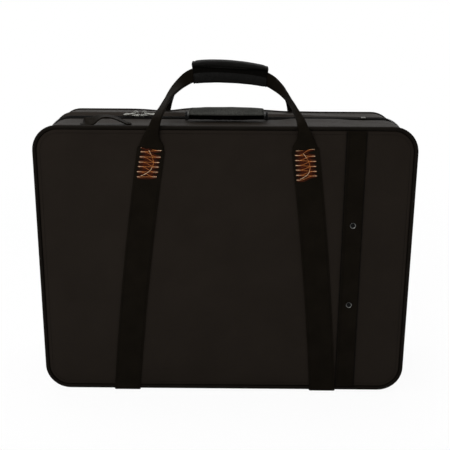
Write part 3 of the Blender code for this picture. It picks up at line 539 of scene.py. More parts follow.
def panel(name, side, node, body, mouth):
    """The cloth of one face: a grid that rolls in to the piping, with its edge turned in all round."""
    columns, rows, widths, half_x = panel_places()
    work = bmesh.new()
    cloth = work.loops.layers.uv.new("cloth")
    grid = []
    for z, width in zip(rows, widths):
        line = []
        for column in columns:
            x = column * width / half_x
            inside = max(0.0, edge_distance(x, z, SEAM_INSET))
            roll = ROLL_DEPTH * (1 - math.sqrt(1 - (1 - min(inside / ROLL_REACH, 1)) ** 2))
            wave = noise.noise(Vector((x * 14, side, z * 14))) * 0.5 + 0.5
            slack = SLACK_DEPTH * min(inside / SLACK_REACH, 1) * wave
            dip = pucker(x, z) if mouth else 0.0
            line.append(work.verts.new(swollen(Vector((x, side * (FACE_Y - roll - slack - dip), z)))))
        grid.append(line)
    faces = []
    for low, high in zip(grid, grid[1:]):
        for j in range(len(columns) - 1):
            corners = (low[j], low[j + 1], high[j + 1], high[j])
            faces.append(work.faces.new(corners if side < 0 else corners[::-1]))
    if mouth:
        open_mouth(work, faces)
    rim = [edge for edge in work.edges if edge.is_boundary]
    turned = bmesh.ops.extrude_edge_only(work, edges=rim)["geom"]
    for made in turned:
        if isinstance(made, bmesh.types.BMVert):
            made.co.y = side * (FACE_Y - TURNED_IN)
    for face in work.faces:
        for corner in face.loops:
            corner[cloth].uv = (corner.vert.co.x, corner.vert.co.z)
    made = sew_up(work, name, 60, outward=False)
    fit(made, nylon, "nylon", body, node)
    seam = [swollen(Vector((p.x, side * (FACE_Y - 0.0001), p.z))) for p in around(TOP_STITCH_INSET, 0)]
    stitches(name + "_stitching", [(seam + seam[:1], [Vector((0, side, 0))] * (len(seam) + 1))],
             black_thread, body)


panel("front_cloth", -1, "pocket_panel", "base", True)
panel("back_cloth", 1, "back_panel", "lid", False)
left, right = MOUTH_LEFT - 0.0009, MOUTH_RIGHT + 0.0009
corners = ((left, MOUTH_FOOT), (left, MOUTH_HEAD), (right, MOUTH_HEAD), (right, MOUTH_FOOT))
bound = [Vector((x, -FACE_Y + 0.0002, z)) for x, z in (*corners, corners[0])]
stitches("mouth_binding", [(bound, [Vector((0, -1, 0))] * 5)], black_thread, "base", 0.0022, 0.0003, 0.00045)


# Piping: cord inside a bias strip of smoother black cloth, caught in the seam between each panel and
# the side. The bias cloth gathers in fine puckers where the cord turns the corners.

PIPING_RADIUS = 0.003
PIPING_INSET = 0.001

bias = Finish("bias_piping", {"Specular IOR Level": 0.04, "Specular Tint": (1, 0.9, 0.8, 1)})
threads = weave(bias, 0.0006, 0.0006)
patches = mottle(bias, 0.03)
bias.feed("Base Color", bias.colours(threads * 0.6 + patches * 0.4,
                                     (0.0018, 0.0014, 0.0010), (0.0062, 0.0049, 0.0037)))
bias.feed("Roughness", 0.60 - threads * 0.1 + patches * 0.08)
bias.bump(threads, 0.00008, 0.6)


def piping(name, side, node, body):
    """The covered cord round one face, thinner by a hair in each gather."""
    rings = []
    outline = around(PIPING_INSET, side * (FACE_Y - PIPING_INSET), 96, 68, 24)
    outer = around(PIPING_INSET - 0.001, side * (FACE_Y - PIPING_INSET), 96, 68, 24)
    for number, (point, beyond) in enumerate(zip(outline, outer)):
        out = (beyond - point).normalized()
        bent = 1 if abs(out.x) * abs(out.z) > 0.01 else 0.3
        radius = PIPING_RADIUS * (1 - 0.035 * bent * (0.5 + 0.5 * math.sin(number * 2.2)))
        ring = []
        for i in range(14):
            turn = math.tau * i / 14
            ring.append(swollen(point + (out * math.cos(turn) + Vector((0, math.sin(turn), 0))) * radius))
        rings.append(ring)
    fit(lofted(name, rings, 70, joined=True), bias, "piping", body, node)


piping("front_piping", -1, "base_piping", "base")
piping("back_piping", 1, "lid_piping", "lid")


# Lining: both halves are padded inside with charcoal plush over foam, rolled over at the rim. The base
# has two padded dividers between its three lanes, and a notched foam rest in each lane.

LINING_OUT, LINING_IN = 0.0043, 0.0103
LINING_GAP = 0.0003
RIM_ROLL = 0.003
NOTCH_RADIUS = 0.030

plush = Finish("charcoal_plush", {"Specular IOR Level": 0.2, "Sheen Weight": 0.25, "Sheen Roughness": 0.45,
                                  "Sheen Tint": (0.75, 0.77, 0.85, 1)})
place = plush.node("ShaderNodeTexCoord", out="Object")
pile = plush.node("ShaderNodeTexNoise", {}, {"Vector": place, "Scale": 900.0, "Detail": 4.0,
                                             "Roughness": 0.7})
brushed = mottle(plush, 0.035, 4.0, 0.3, 0.7)
dark = plush.colours(brushed, (0.010, 0.010, 0.012), (0.016, 0.016, 0.019))
light = plush.colours(brushed, (0.034, 0.034, 0.039), (0.050, 0.050, 0.057))
plush.feed("Base Color", plush.colours(pile, dark, light))
plush.feed("Roughness", 0.85 + pile * 0.1)
soft = plush.bump(brushed, 0.0010, 0.6)
plush.bump(pile, 0.0005, 0.8, soft)


def lining(name, floor_y, edge_y, node, body):
    """A padded tray: its outside against the shell, a rolled rim, and an inside that swells softly."""
    way = 1 if edge_y > floor_y else -1
    thick = LINING_IN - LINING_OUT
    roll = way * RIM_ROLL
    rings = [around(FLAT_INSET, floor_y), around(LINING_OUT, floor_y), around(LINING_OUT, edge_y - roll)]
    for step in range(1, 7):
        turn = math.pi * step / 7
        rings.append(around(LINING_OUT + thick * (1 - math.cos(turn)) / 2,
                            edge_y - roll * (1 - math.sin(turn))))
    inner_floor = floor_y + way * thick
    for step in range(9):
        share = step / 8
        give = 0.0007 * (1 - math.sin(math.pi * share) ** 0.5)
        y = edge_y + (inner_floor - edge_y) * share - roll * (1 - share)
        rings.append(around(LINING_IN - give, y))
    for inset in (0.014, 0.024, 0.04, 0.065, 0.095, 0.13, 0.165, 0.195):
        ring = []
        for p in around(inset, inner_floor):
            give = 0.0006 * (noise.noise(Vector((p.x * 18, way, p.z * 18))) * 0.5 + 0.5)
            ring.append(p - Vector((0, way * give, 0)))
        rings.append(ring)
    fit(lofted(name, rings, 60), plush, "plush", body, node)


lining("base_plush", BASE_INSIDE_Y + LINING_GAP, BASE_EDGE_Y - LINING_GAP, "base_lining", "base")
lining("lid_plush", LID_INSIDE_Y - LINING_GAP, LID_EDGE_Y + LINING_GAP, "lid_lining", "lid")


def swell(low, high, thin, bulge):
    """Rings along X of a soft block between two corners: rounded edges, faces fuller in the middle."""
    size = high - low
    middle = (low + high) / 2
    rings = []
    ends = (0, 0.15, 0.5, 1) if size.x > 0.1 else (0, 0.25, 0.6, 1)
    reach = min(size.x / 2, thin * 1.4)
    stations = [low.x + reach * share for share in ends]
    stations += [low.x + reach + (size.x - 2 * reach) * i / 24 for i in range(1, 24)]
    stations += [high.x - reach * share for share in reversed(ends)]
    for x in stations:
        inside = min(x - low.x, high.x - x)
        round_off = thin * (1 - math.sqrt(max(0, 1 - (1 - min(inside / thin, 1)) ** 2)))
        ring = []
        for i in range(40):
            turn = math.tau * i / 40
            c, s = math.cos(turn), math.sin(turn)
            y = middle.y + math.copysign(abs(c) ** 0.3, c) * (size.y / 2 - round_off)
            z = middle.z + math.copysign(abs(s) ** 0.3, s) * (size.z / 2 - round_off)
            give = bulge * (1 - min(inside / 0.03, 1))
            wave = bulge * 0.5 * (noise.noise(Vector((x * 30, y * 30, z * 30))) * 0.5 + 0.5)
            ring.append(Vector((x, y - c * (give + wave), z - s * (give + wave))))
        rings.append(ring)
    return rings


for number in (1, 2):
    low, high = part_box(f"divider_{number}")
    made = lofted(f"lane_divider_{number}", swell(low, high, 0.004, 0.0006), 60)
    fit(made, plush, "plush", "base", f"divider_{number}")
    rows = []
    for z in (low.z + 0.0028, high.z - 0.0028):
        rows.append(([Vector((x, high.y - 0.0004, z)) for x in (low.x + 0.006, high.x - 0.006)],
                     [Vector((0, 1, 0))] * 2))
    stitches(f"divider_stitching_{number}", rows, black_thread, "base")


def rest_rings(low, high):
    """Slices along X of a block whose back edge is notched round for the instrument's body."""
    middle_z = (low.z + high.z) / 2
    outline = [(high.y, low.z), (low.y, low.z), (low.y, high.z), (high.y, high.z)]
    for step in range(25):
        turn = math.pi * step / 24
        outline.append((high.y - NOTCH_RADIUS * math.sin(turn), middle_z + NOTCH_RADIUS * math.cos(turn)))
    dense = []
    for (y, z), (y2, z2) in zip(outline, outline[1:] + outline[:1]):
        steps = max(1, round(math.hypot(y2 - y, z2 - z) / 0.003))
        dense += [(y + (y2 - y) * i / steps, z + (z2 - z) * i / steps) for i in range(steps)]
    for _ in range(2):
        dense = [((a[0] + 2 * b[0] + c[0]) / 4, (a[1] + 2 * b[1] + c[1]) / 4)
                 for a, b, c in zip(dense[-1:] + dense[:-1], dense, dense[1:] + dense[:1])]
    edges = ((0, 0.0032), (0.0006, 0.0016), (0.002, 0.0005), (0.005, 0.0001))
    slices = [(low.x + away, inward) for away, inward in edges] + [((low.x + high.x) / 2, 0)]
    slices += [(high.x - away, inward) for away, inward in reversed(edges)]
    rings = []
    for x, inward in slices:
        ring = []
        for i, (y, z) in enumerate(dense):
            (y0, z0), (y1, z1) = dense[i - 1], dense[(i + 1) % len(dense)]
            length = math.hypot(y1 - y0, z1 - z0)
            ring.append(Vector((x, y - (z1 - z0) / length * inward, z + (y1 - y0) / length * inward)))
        rings.append(ring)
    return rings


for number in (1, 2, 3):
    low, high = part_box(f"instrument_rest_{number}")
    made = lofted(f"lane_rest_{number}", rest_rings(low, high), 60)
    fit(made, plush, "plush", "base", f"instrument_rest_{number}")


# Zipper: a nylon coil on each of two woven tapes, sewn along both edges of the split up the sides and
# over the top. The two coils lie side by side with their loops half a pitch apart.

TAPE_IN, TAPE_OUT = 0.0008, 0.0098
TAPE_SECTION = ((0.0003, TAPE_IN), (0.0012, TAPE_IN), (0.0014, 0.0018), (0.0013, 0.0038), (0.0013, 0.0066),
                (0.0013, 0.0094), (0.0010, TAPE_OUT), (0.0003, TAPE_OUT))
TAPE_SEAM_LIFT, TAPE_SEAM_DEEP = 0.0013, 0.0068
COIL_PITCH, COIL_STEPS, COIL_THREAD = 0.0017, 8, 0.00031
COIL_DEEP, COIL_REACH = 0.0021, 0.0012
COIL_LIFT, COIL_RISE = 0.00215, 0.00052

tape_cloth = Finish("zipper_tape", {"Specular IOR Level": 0.02})
threads = weave(tape_cloth, 0.0008, 0.0007)
patches = mottle(tape_cloth, 0.05)
tape_cloth.feed("Base Color", tape_cloth.colours(threads * 0.7 + patches * 0.3,
                                                 (0.0010, 0.0009, 0.0007), (0.0036, 0.0033, 0.0028)))
tape_cloth.feed("Roughness", 0.70 - threads * 0.1)
tape_cloth.bump(threads, 0.0001, 0.6)

coil_nylon = Finish("zipper_coil", {"Specular IOR Level": 0.05})
coil_nylon.tone(mottle(coil_nylon, 0.004), (0.0016, 0.0016, 0.0014), (0.0050, 0.0048, 0.0044), 0.34, 0.14)


def zipper_line():
    """Places on the walls' outer face and the outward direction at each, right foot to left foot."""
    half_x = SHELL_WIDTH / 2 - CORNER_RADIUS
    foot, top = SHELL_BOTTOM + CORNER_RADIUS, SHELL_TOP - CORNER_RADIUS
    places = [Vector((SHELL_WIDTH / 2, 0, foot + (top - foot) * i / 60)) for i in range(60)]
    outward = [Vector((1, 0, 0))] * 60
    for side, first in ((1, 0), (-1, math.pi / 2)):
        for step in range(17):
            turn = first + math.pi / 2 * step / 16
            outward.append(Vector((math.cos(turn), 0, math.sin(turn))))
            places.append(Vector((side * half_x, 0, top)) + outward[-1] * CORNER_RADIUS)
        if side > 0:
            places += [Vector((half_x * (1 - 2 * i / 80), 0, SHELL_TOP)) for i in range(1, 80)]
            outward += [Vector((0, 0, 1))] * 79
    places += [Vector((-p.x, 0, p.z)) for p in reversed(places[:60])]
    return places, outward + [Vector((-1, 0, 0))] * 60


def zipper_half(half, side):
    """One tape, its coil wound round and round along the edge, and the seam that holds it."""
    places, outward = zipper_line()
    rings = [[p + out * lift + Vector((0, SPLIT_Y + side * deep, 0)) for lift, deep in TAPE_SECTION]
             for p, out in zip(places, outward)]
    fit(lofted(f"zip_tape_{half}", rings, 50), tape_cloth, "zipper_tape", half, f"zipper_tape_{half}")
    work = bmesh.new()
    path, normals = [], []
    for number, (p, out) in enumerate(paced(places, outward, COIL_PITCH / COIL_STEPS)):
        turn = math.tau * (number / COIL_STEPS + (0.5 if side > 0 else 0))
        lift, deep = COIL_LIFT + COIL_RISE * math.sin(turn), COIL_DEEP + COIL_REACH * math.cos(turn)
        path.append(p + out * lift + Vector((0, SPLIT_Y + side * deep, 0)))
        normals.append(out)
    strand(work, path, [COIL_THREAD] * len(path), normals, 4)
    fit(sew_up(work, f"zip_coil_{half}", 80), coil_nylon, "zipper_tape", half)
    seam = [p + out * TAPE_SEAM_LIFT + Vector((0, SPLIT_Y + side * TAPE_SEAM_DEEP, 0))
            for p, out in zip(places, outward)]
    stitches(f"zip_stitching_{half}", [(seam, outward)], black_thread, half)


zipper_half("base", -1)
zipper_half("lid", 1)


# Straps and carry loops: one length of ribbed black webbing for each face. It comes up from under the
# case, is sewn down flat, folds its edges behind above the stitching and twists over to the handle.

STRAP_WIDTH = 0.040
STRAP_FOOT_X = {"left": -0.152, "right": 0.1545}
STRAP_HEAD_X = {"left": -0.1065, "right": 0.1155}
STRAP_HEAD_Z = 0.390
STRAP_IN_Y = FACE_Y + 0.0003
WEB_THICK, WEB_FOLDED = 0.0018, 0.0014
SEWN_TO_Z, SEWN_IN_X = 0.336, 0.0172
FOLD_START_Z = 0.3845
LOOP_RISE = 0.1005
LOOP_THICK = 0.0047
LEG_SHARES = ((1, 0), (1, 0.09), (0.983, 0.19), (0.955, 0.29), (0.92, 0.40), (0.87, 0.51), (0.815, 0.62),
              (0.745, 0.72), (0.655, 0.81), (0.55, 0.89), (0.40, 0.95), (0.20, 0.988))
LOOP_WIDTH_SHARES = ((0, 0.9), (0.14, 0.58), (0.27, 0.4), (0.42, 0.31), (0.62, 0.3), (0.78, 0.4),
                     (0.9, 0.5), (1, 0.58))
LOOP_TWIST_SHARES = ((0, 0), (0.36, 0), (0.5, 0.8), (0.62, 1), (0.74, 0.55), (0.84, 0.08),
                     (0.89, 0), (1, 0))

webbing = Finish("ribbed_webbing", {"Specular IOR Level": 0.04, "Specular Tint": (1, 0.86, 0.68, 1)})
ribs = weave(webbing, 0.0016, 0.0011)
patches = mottle(webbing, 0.03)
dark = webbing.colours(patches, (0.0010, 0.0007, 0.0004), (0.0018, 0.0013, 0.0008))
light = webbing.colours(patches, (0.0040, 0.0029, 0.0018), (0.0058, 0.0043, 0.0028))
webbing.feed("Base Color", webbing.colours(ribs, dark, light))
webbing.feed("Roughness", 0.70 - ribs * 0.14)
webbing.bump(ribs, 0.0003, 0.7)


def shares_at(table, share):
    """A value read from a table of shares, straight between its rows."""
    for (low, first), (high, last) in zip(table, table[1:]):
        if share <= high:
            return first + (last - first) * (share - low) / (high - low)
    return table[-1][1]


def smooth_run(points, steps):
    """A smooth curve through the points, with that many steps from each to the next."""
    ends = [points[0] * 2 - points[1], *points, points[-1] * 2 - points[-2]]
    run = []
    for a, b, c, d in zip(ends, ends[1:], ends[2:], ends[3:]):
        for step in range(steps):
            t = step / steps
            run.append((b * 2 + (c - a) * t + (a * 2 - b * 5 + c * 4 - d) * t * t
                        + (b * 3 - a - c * 3 + d) * t ** 3) / 2)
    return run + [points[-1]]


def web_section(width, depth):
    """The webbing cut across: points of its middle line, their place on the cloth, and its thickness.

    Narrower than it was woven, it has both edges turned behind, the right one over the left.
    """
    turned = smooth_step((STRAP_WIDTH - width) / 0.003)
    thick = WEB_THICK + (WEB_FOLDED - WEB_THICK) * turned
    wide = width - thick * turned
    spare = (STRAP_WIDTH - width) / 2
    lapped = smooth_step((spare / width - 0.42) / 0.1)
    front = (depth - thick) / 2
    drops = ((depth - thick) * (1 - 0.5 * lapped), depth - thick)
    halves = []
    for side, drop in zip((-1, 1), drops):
        bend = drop / 2
        flap = max(0.0002, min(spare - bend, wide - 2.2 * bend))
        half = []
        for i in range(3):
            half.append((side * (wide / 2 - bend - flap * (1 - i / 3)), front - drop))
        for i in range(5):
            turn = math.pi * (i / 4 - 0.5)
            half.append((side * (wide / 2 - bend + bend * math.cos(turn)),
                         front - bend + bend * math.sin(turn)))
        halves.append(half)
    left, right = halves
    start, end = left[-1], right[-1]
    middle = [(start[0] + (end[0] - start[0]) * i / 6, front) for i in range(1, 6)]
    run = left + middle + right[::-1]
    flat = [(STRAP_WIDTH * (i / (len(run) - 1) - 0.5), 0.0) for i in range(len(run))]
    line = [(f[0] + (r[0] - f[0]) * turned, f[1] + (r[1] - f[1]) * turned) for f, r in zip(flat, run)]
    worn = [0.0]
    for (a, b), (c, d) in zip(line, line[1:]):
        worn.append(worn[-1] + math.hypot(c - a, d - b))
    return line, [place - worn[-1] / 2 for place in worn], thick


def web_ring(centre, ahead, face, width, depth):
    """Points round the webbing's section at one place on its way, and their places on the cloth."""
    face = (face - ahead * face.dot(ahead)).normalized()
    across = ahead.cross(face)
    line, worn, thick = web_section(width, depth)
    sides = []
    for (a, b), (c, d) in zip(line[:1] + line[:-1], line[1:] + line[-1:]):
        length = math.hypot(c - a, d - b) or 1
        sides.append(((c - a) / length, (d - b) / length))
    ring, places = [], []
    for way in (1, -1):
        order = range(len(line)) if way > 0 else range(len(line) - 1, -1, -1)
        for i in order:
            thin = 0.62 if i in (0, len(line) - 1) else 1
            (a, b), (t, s) = line[i], sides[i]
            ring.append(centre + across * (a - way * s * thick / 2 * thin)
                        + face * (b + way * t * thick / 2 * thin))
            places.append(worn[i])
    return ring, places + places[:1]


def strap_way(hand, side):
    """Up one strap: centre, facing, width and depth from the tail under the case to the fold."""
    turn_y = side * (FACE_Y - PIPING_INSET)
    turn_z = SHELL_BOTTOM + PIPING_INSET
    centre = 0.0003 + WEB_THICK / 2
    reach = PIPING_RADIUS + centre
    places = [(SPLIT_Y + side * (0.029 + (FACE_Y - 0.029 - 0.012) * i / 6), SHELL_BOTTOM - centre)
              for i in range(7)]
    for step in range(11):
        turn = math.radians(-70 - 130 * step / 10)
        places.append((turn_y - side * reach * math.cos(turn), turn_z + reach * math.sin(turn)))
    settle_z = turn_z + reach + 0.009
    places += [(side * (FACE_Y + centre), settle_z + (FOLD_START_Z - settle_z) * i / 36) for i in range(37)]
    foot_x, head_x = STRAP_FOOT_X[hand], STRAP_HEAD_X[hand]
    bow = math.copysign(0.0035, foot_x)
    way = []
    for i, (y, z) in enumerate(places):
        rise = max(0, z - turn_z) / (STRAP_HEAD_Z - turn_z)
        x = foot_x + (head_x - foot_x) * rise + bow * 4 * rise * (1 - rise)
        (y0, z0), (y1, z1) = places[max(i - 1, 0)], places[min(i + 1, len(places) - 1)]
        length = math.hypot(y1 - y0, z1 - z0)
        face = Vector((0, side * (z1 - z0) / length, -side * (y1 - y0) / length))
        way.append((Vector((x, y, z)), face, STRAP_WIDTH, WEB_THICK))
    for share in (0.25, 0.5, 0.75):
        z = FOLD_START_Z + (STRAP_HEAD_Z - FOLD_START_Z) * share
        depth = WEB_THICK + 0.0013 * smooth_step(share)
        x = foot_x + (head_x - foot_x) * (z - turn_z) / (STRAP_HEAD_Z - turn_z)
        way.append((Vector((x, side * (STRAP_IN_Y + depth / 2), z)), Vector((0, side, 0)),
                    STRAP_WIDTH * (1 - 0.1 * share), depth))
    return way


def loop_line():
    """One carry loop seen from the front, in shares of its reach and rise."""
    left = [Vector((-across, up)) for across, up in LEG_SHARES]
    right = [Vector((-point.x, point.y)) for point in reversed(left)]
    return smooth_run([*left, Vector((0, 1)), *right], 4)


def loop_place(share):
    """X and Z of a point of the loops' line. The loops lean and sag to the right as their wrap hangs."""
    middle = (STRAP_HEAD_X["left"] + STRAP_HEAD_X["right"]) / 2
    across = (STRAP_HEAD_X["right"] - STRAP_HEAD_X["left"]) / 2 * share.x
    sway = 0.0115 * share.y ** 2 * (1 - share.y)
    return middle + across + sway, STRAP_HEAD_Z + LOOP_RISE * share.y - 0.045 * across * share.y


def loop_depth(up):
    """How far from the middle plane a loop stands: out past the piping, then leaning in to its twin."""
    foot = FACE_Y + 0.0012
    past = FACE_Y - PIPING_INSET + PIPING_RADIUS + 0.0005 + LOOP_THICK / 2
    turn = (SHELL_TOP - PIPING_INSET - STRAP_HEAD_Z) / LOOP_RISE
    if up <= turn:
        return foot + (past - foot) * up / turn
    met = 0.0004 + LOOP_THICK / 2
    return past + (met - past) * smooth_step((up - 0.35) / 0.53)


def loop_way(side):
    """Along one carry loop from its left foot to its right."""
    line = loop_line()
    places = []
    for share in line:
        x, z = loop_place(share)
        depth = max(0.0031, WEB_THICK + (LOOP_THICK - WEB_THICK) * min(1, share.y / 0.2))
        y = max(loop_depth(share.y), STRAP_IN_Y + depth / 2) if share.y < 0.2 else loop_depth(share.y)
        places.append((Vector((x, side * y, z)), depth))
    way = []
    for i, (share, (point, depth)) in enumerate(zip(line, places)):
        ahead = (places[min(i + 1, len(places) - 1)][0] - places[max(i - 1, 0)][0]).normalized()
        face = Vector((0, side, 0))
        face = (face - ahead * face.dot(ahead)).normalized()
        twist = math.radians(55) * shares_at(LOOP_TWIST_SHARES, share.y) * side * (1 if share.x < 0 else -1)
        width = STRAP_WIDTH * shares_at(LOOP_WIDTH_SHARES, share.y)
        way.append((point, Quaternion(ahead, twist) @ face, width, depth))
    return way


def carry_band(name, side, nodes, bodies):
    """One face's webbing from tail to tail. It bends where the loop leaves the strap."""
    way = strap_way("left", side) + loop_way(side) + strap_way("right", side)[::-1]
    rings, across = [], []
    for (point, face, width, depth), before, after in zip(way, way[:1] + way[:-1], way[1:] + way[-1:]):
        ring, places = web_ring(point, (after[0] - before[0]).normalized(), face, width, depth)
        rings.append(ring)
        across.append(places)
    made = fit(lofted(name, rings, 75, across=across), webbing, "webbing", None, *nodes)
    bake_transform(made)
    for hand in STRAP_FOOT_X:
        sewn = [(p, n) for p, n, _, _ in strap_way(hand, side)[1:-3] if p.z < SEWN_TO_Z]
        runs = [([p + Vector((edge, 0, 0)) + n * (WEB_THICK / 2) for p, n in sewn], [n for _, n in sewn])
                for edge in (-SEWN_IN_X, SEWN_IN_X)]
        stitches(f"{name}_edges_{hand}", runs, black_thread, bodies[0])


carry_band("front_webbing", -1, ("front_strap_left", "front_strap_right", "front_loop"),
           ("base", "front_carry"))
carry_band("back_webbing", 1, ("rear_strap_left", "rear_strap_right", "rear_loop"), ("lid", "rear_carry"))


# Stitch boxes: where each carry loop leaves its strap, close zigzag stitching in thick copper thread
# holds the webbing to the panel. The thread stands up at the turns and sinks in between them. Its colour
# is a painted highlight at the turns and painted shade between them, over darker under-strokes that
# paint the shade in the gaps.

BOX_TURNS = {
    "left": (((-0.1229, 0.3887), (-0.1234, 0.3822), (-0.1247, 0.3747), (-0.1263, 0.3671), (-0.1276, 0.3605),
              (-0.1292, 0.3528), (-0.1296, 0.3452)),
             ((-0.0908, 0.3841), (-0.0920, 0.3744), (-0.0943, 0.3666), (-0.0950, 0.3599), (-0.0966, 0.3524),
              (-0.0982, 0.3454))),
    "right": (((0.1002, 0.3850), (0.1002, 0.3781), (0.1007, 0.3708), (0.1015, 0.3634), (0.1023, 0.3566),
               (0.1029, 0.3490), (0.1036, 0.3418)),
              ((0.1309, 0.3873), (0.1315, 0.3773), (0.1332, 0.3697), (0.1335, 0.3623), (0.1344, 0.3549),
               (0.1349, 0.3482))),
}
BOX_ARC = ((0.42, 0.10), (0.6, 0.3), (0.7, 0.5), (0.68, 0.65), (0.58, 0.8), (0.35, 0.92), (0.2, 0.97))
STROKE_LENGTH = 0.0335
STROKE_STEPS = 12

copper_thread = Finish("copper_thread", {"Specular IOR Level": 0.12, "Sheen Weight": 0.05,
                                         "Sheen Roughness": 0.5})
place = copper_thread.node("ShaderNodeUVMap", {"uv_map": "cloth"})
place = copper_thread.node("ShaderNodeSeparateXYZ", {}, {0: place}, 1)
# Painted light: copper in painted shade along a stroke's middle, a paler painted highlight at its ends.
from_middle = place / STROKE_LENGTH - 0.5
from_end = from_middle.math("ABSOLUTE", from_middle) * 2
painted_highlight_share = copper_thread.node("ShaderNodeMapRange", {}, {0: from_end, 1: 0.42, 2: 0.78})
spots = mottle(copper_thread, 0.0015, 2.0, 0.3, 0.7)
# The sunk colour is painted shade and the proud one a painted highlight.
sunk = copper_thread.colours(spots, (0.20, 0.055, 0.010), (0.50, 0.180, 0.045))
proud = copper_thread.colours(spots, (0.45, 0.28, 0.16), (0.76, 0.54, 0.35))
copper_thread.feed("Base Color", copper_thread.colours(painted_highlight_share, sunk, proud))
copper_thread.feed("Roughness", 0.5 + spots * 0.2)

# A darker red-brown thread for the under-strokes: painted shade in the gaps between the copper strokes.
under_thread_painted_shade = Finish("under_thread_painted_shade", {"Specular IOR Level": 0.08})
under_thread_painted_shade.tone(mottle(under_thread_painted_shade, 0.0015, 2.0, 0.3, 0.7),
                  (0.022, 0.0024, 0.0002), (0.080, 0.0125, 0.0015), 0.6, 0.2)


def stroke(work, start, end, normal, radius, shift, proud):
    """One stroke of thick thread, thinner between its ends and bowed aside by its shift. A proud one
    stands up at its ends, and the others lie sunk."""
    path, radii = [], []
    for i in range(STROKE_STEPS + 1):
        share = i / STROKE_STEPS
        edge = abs(share - 0.5) * 2
        high = 0.5 * edge if proud else -0.15
        dip = normal * (radius * (high if 0 < share < 1 else -0.8))
        bend = Vector((0, 0, shift * math.sin(math.pi * share) * 0.6))
        spot = start.lerp(end, share)
        spot.z = start.z + (end.z - start.z) * smooth_step((share - 0.2) / 0.6)
        path.append(spot + dip + bend)
        radii.append(radius * (0.6 + 0.4 * edge ** 2) * (1 if 0 < share < 1 else 0.5))
    strand(work, path, radii, [normal] * len(path), 6, 0.7)


def stitch_box(name, turns, side, body):
    """Zigzag strokes between the turns, fat at each end, over two rows in painted shade and an arc."""
    face = side * (FACE_Y + 0.0003 + WEB_THICK)
    normal = Vector((0, side, 0))
    left, right = turns
    zigzag = [spot for pair in zip(left, right) for spot in pair] + [left[-1]]
    layers = (("under", under_thread_painted_shade, 0.00060, (0.0012, -0.0014, 0.0036, -0.0034)),
              ("top", copper_thread, 0.00046, (0.0,)))
    for layer, finish, radius, shifts in layers:
        work = bmesh.new()
        for a, b in zip(zigzag, zigzag[1:]):
            for shift in shifts:
                start, end = (Vector((x, face, z + shift * 0.3)) for x, z in (a, b))
                stroke(work, start, end, normal, radius, shift, layer == "top")
        if layer == "top":
            (x0, z1), (x1, _), (foot_x, z0) = left[0], right[0], left[-1]
            arc = [Vector((x0 + (x1 - x0) * u + (foot_x - x0) * v, face, z1 + (z0 - z1) * v))
                   for u, v in BOX_ARC]
            arc = [p + normal * 0.0005 for p in smooth_run(arc, 4)]
            strand(work, arc, [0.00028] * len(arc), [normal] * len(arc), 6, 0.7)
        fit(sew_up(work, f"{name}_{layer}", 70), finish, "webbing", body)


for hand, turns in BOX_TURNS.items():
    stitch_box(f"front_box_{hand}", turns, -1, "base")
    stitch_box(f"back_box_{hand}", turns, 1, "lid")


# Handle wrap: padded black leatherette sewn shut round both carry loops. It goes up the back and over
# the top, and its stitched flap hangs down over its own front edge. The front just under the flap is
# near-black, painted shade under the flap.

WRAP_X, WRAP_LENGTH, WRAP_THICK = 0.0065, 0.112, 0.0028
WRAP_GAP = 0.0003
HELD_HALF = STRAP_WIDTH * 0.29
WRAP_HALF = HELD_HALF + WRAP_GAP + WRAP_THICK
WRAP_END = 0.0055
WRAP_ENDS = (0, 0.0004, 0.0012, 0.0025, 0.004, WRAP_END)
WRAP_SHADE_POINTS = 7
WRAP_SHARES = ((-1, 0.66), (-1, -0.1), (-1, -0.8), (-0.8, -1), (0.8, -1), (1, -0.8),
               (1, 0.8), (0.8, 1), (-0.6, 1.02))
WRAP_LAP_SHARES = ((-0.95, 0.9), (-1, 0.64), (-1, 0.34))


def leatherette(name, shine, face, valley_shade):
    """Black vinyl with a small pebbled grain, shade painted in its valleys, soft folds, patches rubbed
    smoother.
    """
    leather = Finish(name, {"Specular IOR Level": shine})
    place = leather.node("ShaderNodeTexCoord", out="Object")
    warp = leather.node("ShaderNodeTexNoise", {}, {"Vector": place, "Scale": 160.0, "Detail": 2.0}, "Color")
    moved = leather.node("ShaderNodeVectorMath", {"operation": "MULTIPLY_ADD"},
                         {0: warp, 1: (0.0016,) * 3, 2: place})
    cells = leather.node("ShaderNodeTexVoronoi", {"feature": "DISTANCE_TO_EDGE"},
                         {"Vector": moved, "Scale": 620.0})
    grain = leather.node("ShaderNodeMapRange", {}, {0: cells, 1: 0.0, 2: 0.16})
    folds = mottle(leather, 0.012, 4.0, 0.42, 0.58)
    rubbed = mottle(leather, 0.03, 3.0, 0.35, 0.7)
    worn = leather.colours(rubbed, tuple(c * 0.7 for c in face), tuple(c * 1.3 for c in face))
    # Painted shade: the grain's valleys take the darker valley colour.
    leather.feed("Base Color", leather.colours(grain, valley_shade, worn))
    leather.feed("Roughness", 0.52 - grain * 0.12 + rubbed * 0.10)
    relief = leather.bump(folds, 0.0006, 0.5)
    leather.bump(grain, 0.00014, 0.7, relief)
    return leather


wrap_leather = leatherette("wrap_leatherette", 0.05, (0.0040, 0.0037, 0.0032), (0.0012, 0.0011, 0.0009))

# A near-black matt finish that paints shade: on the wrap's front under the flap and on the grip's underside.
painted_shade_finish = Finish("painted_shade_finish", {"Specular IOR Level": 0.02})
painted_shade_finish.tone(mottle(painted_shade_finish, 0.0012, 3.0), (0.0010, 0.0009, 0.0007), (0.0034, 0.0030, 0.0024), 0.85, 0.1)


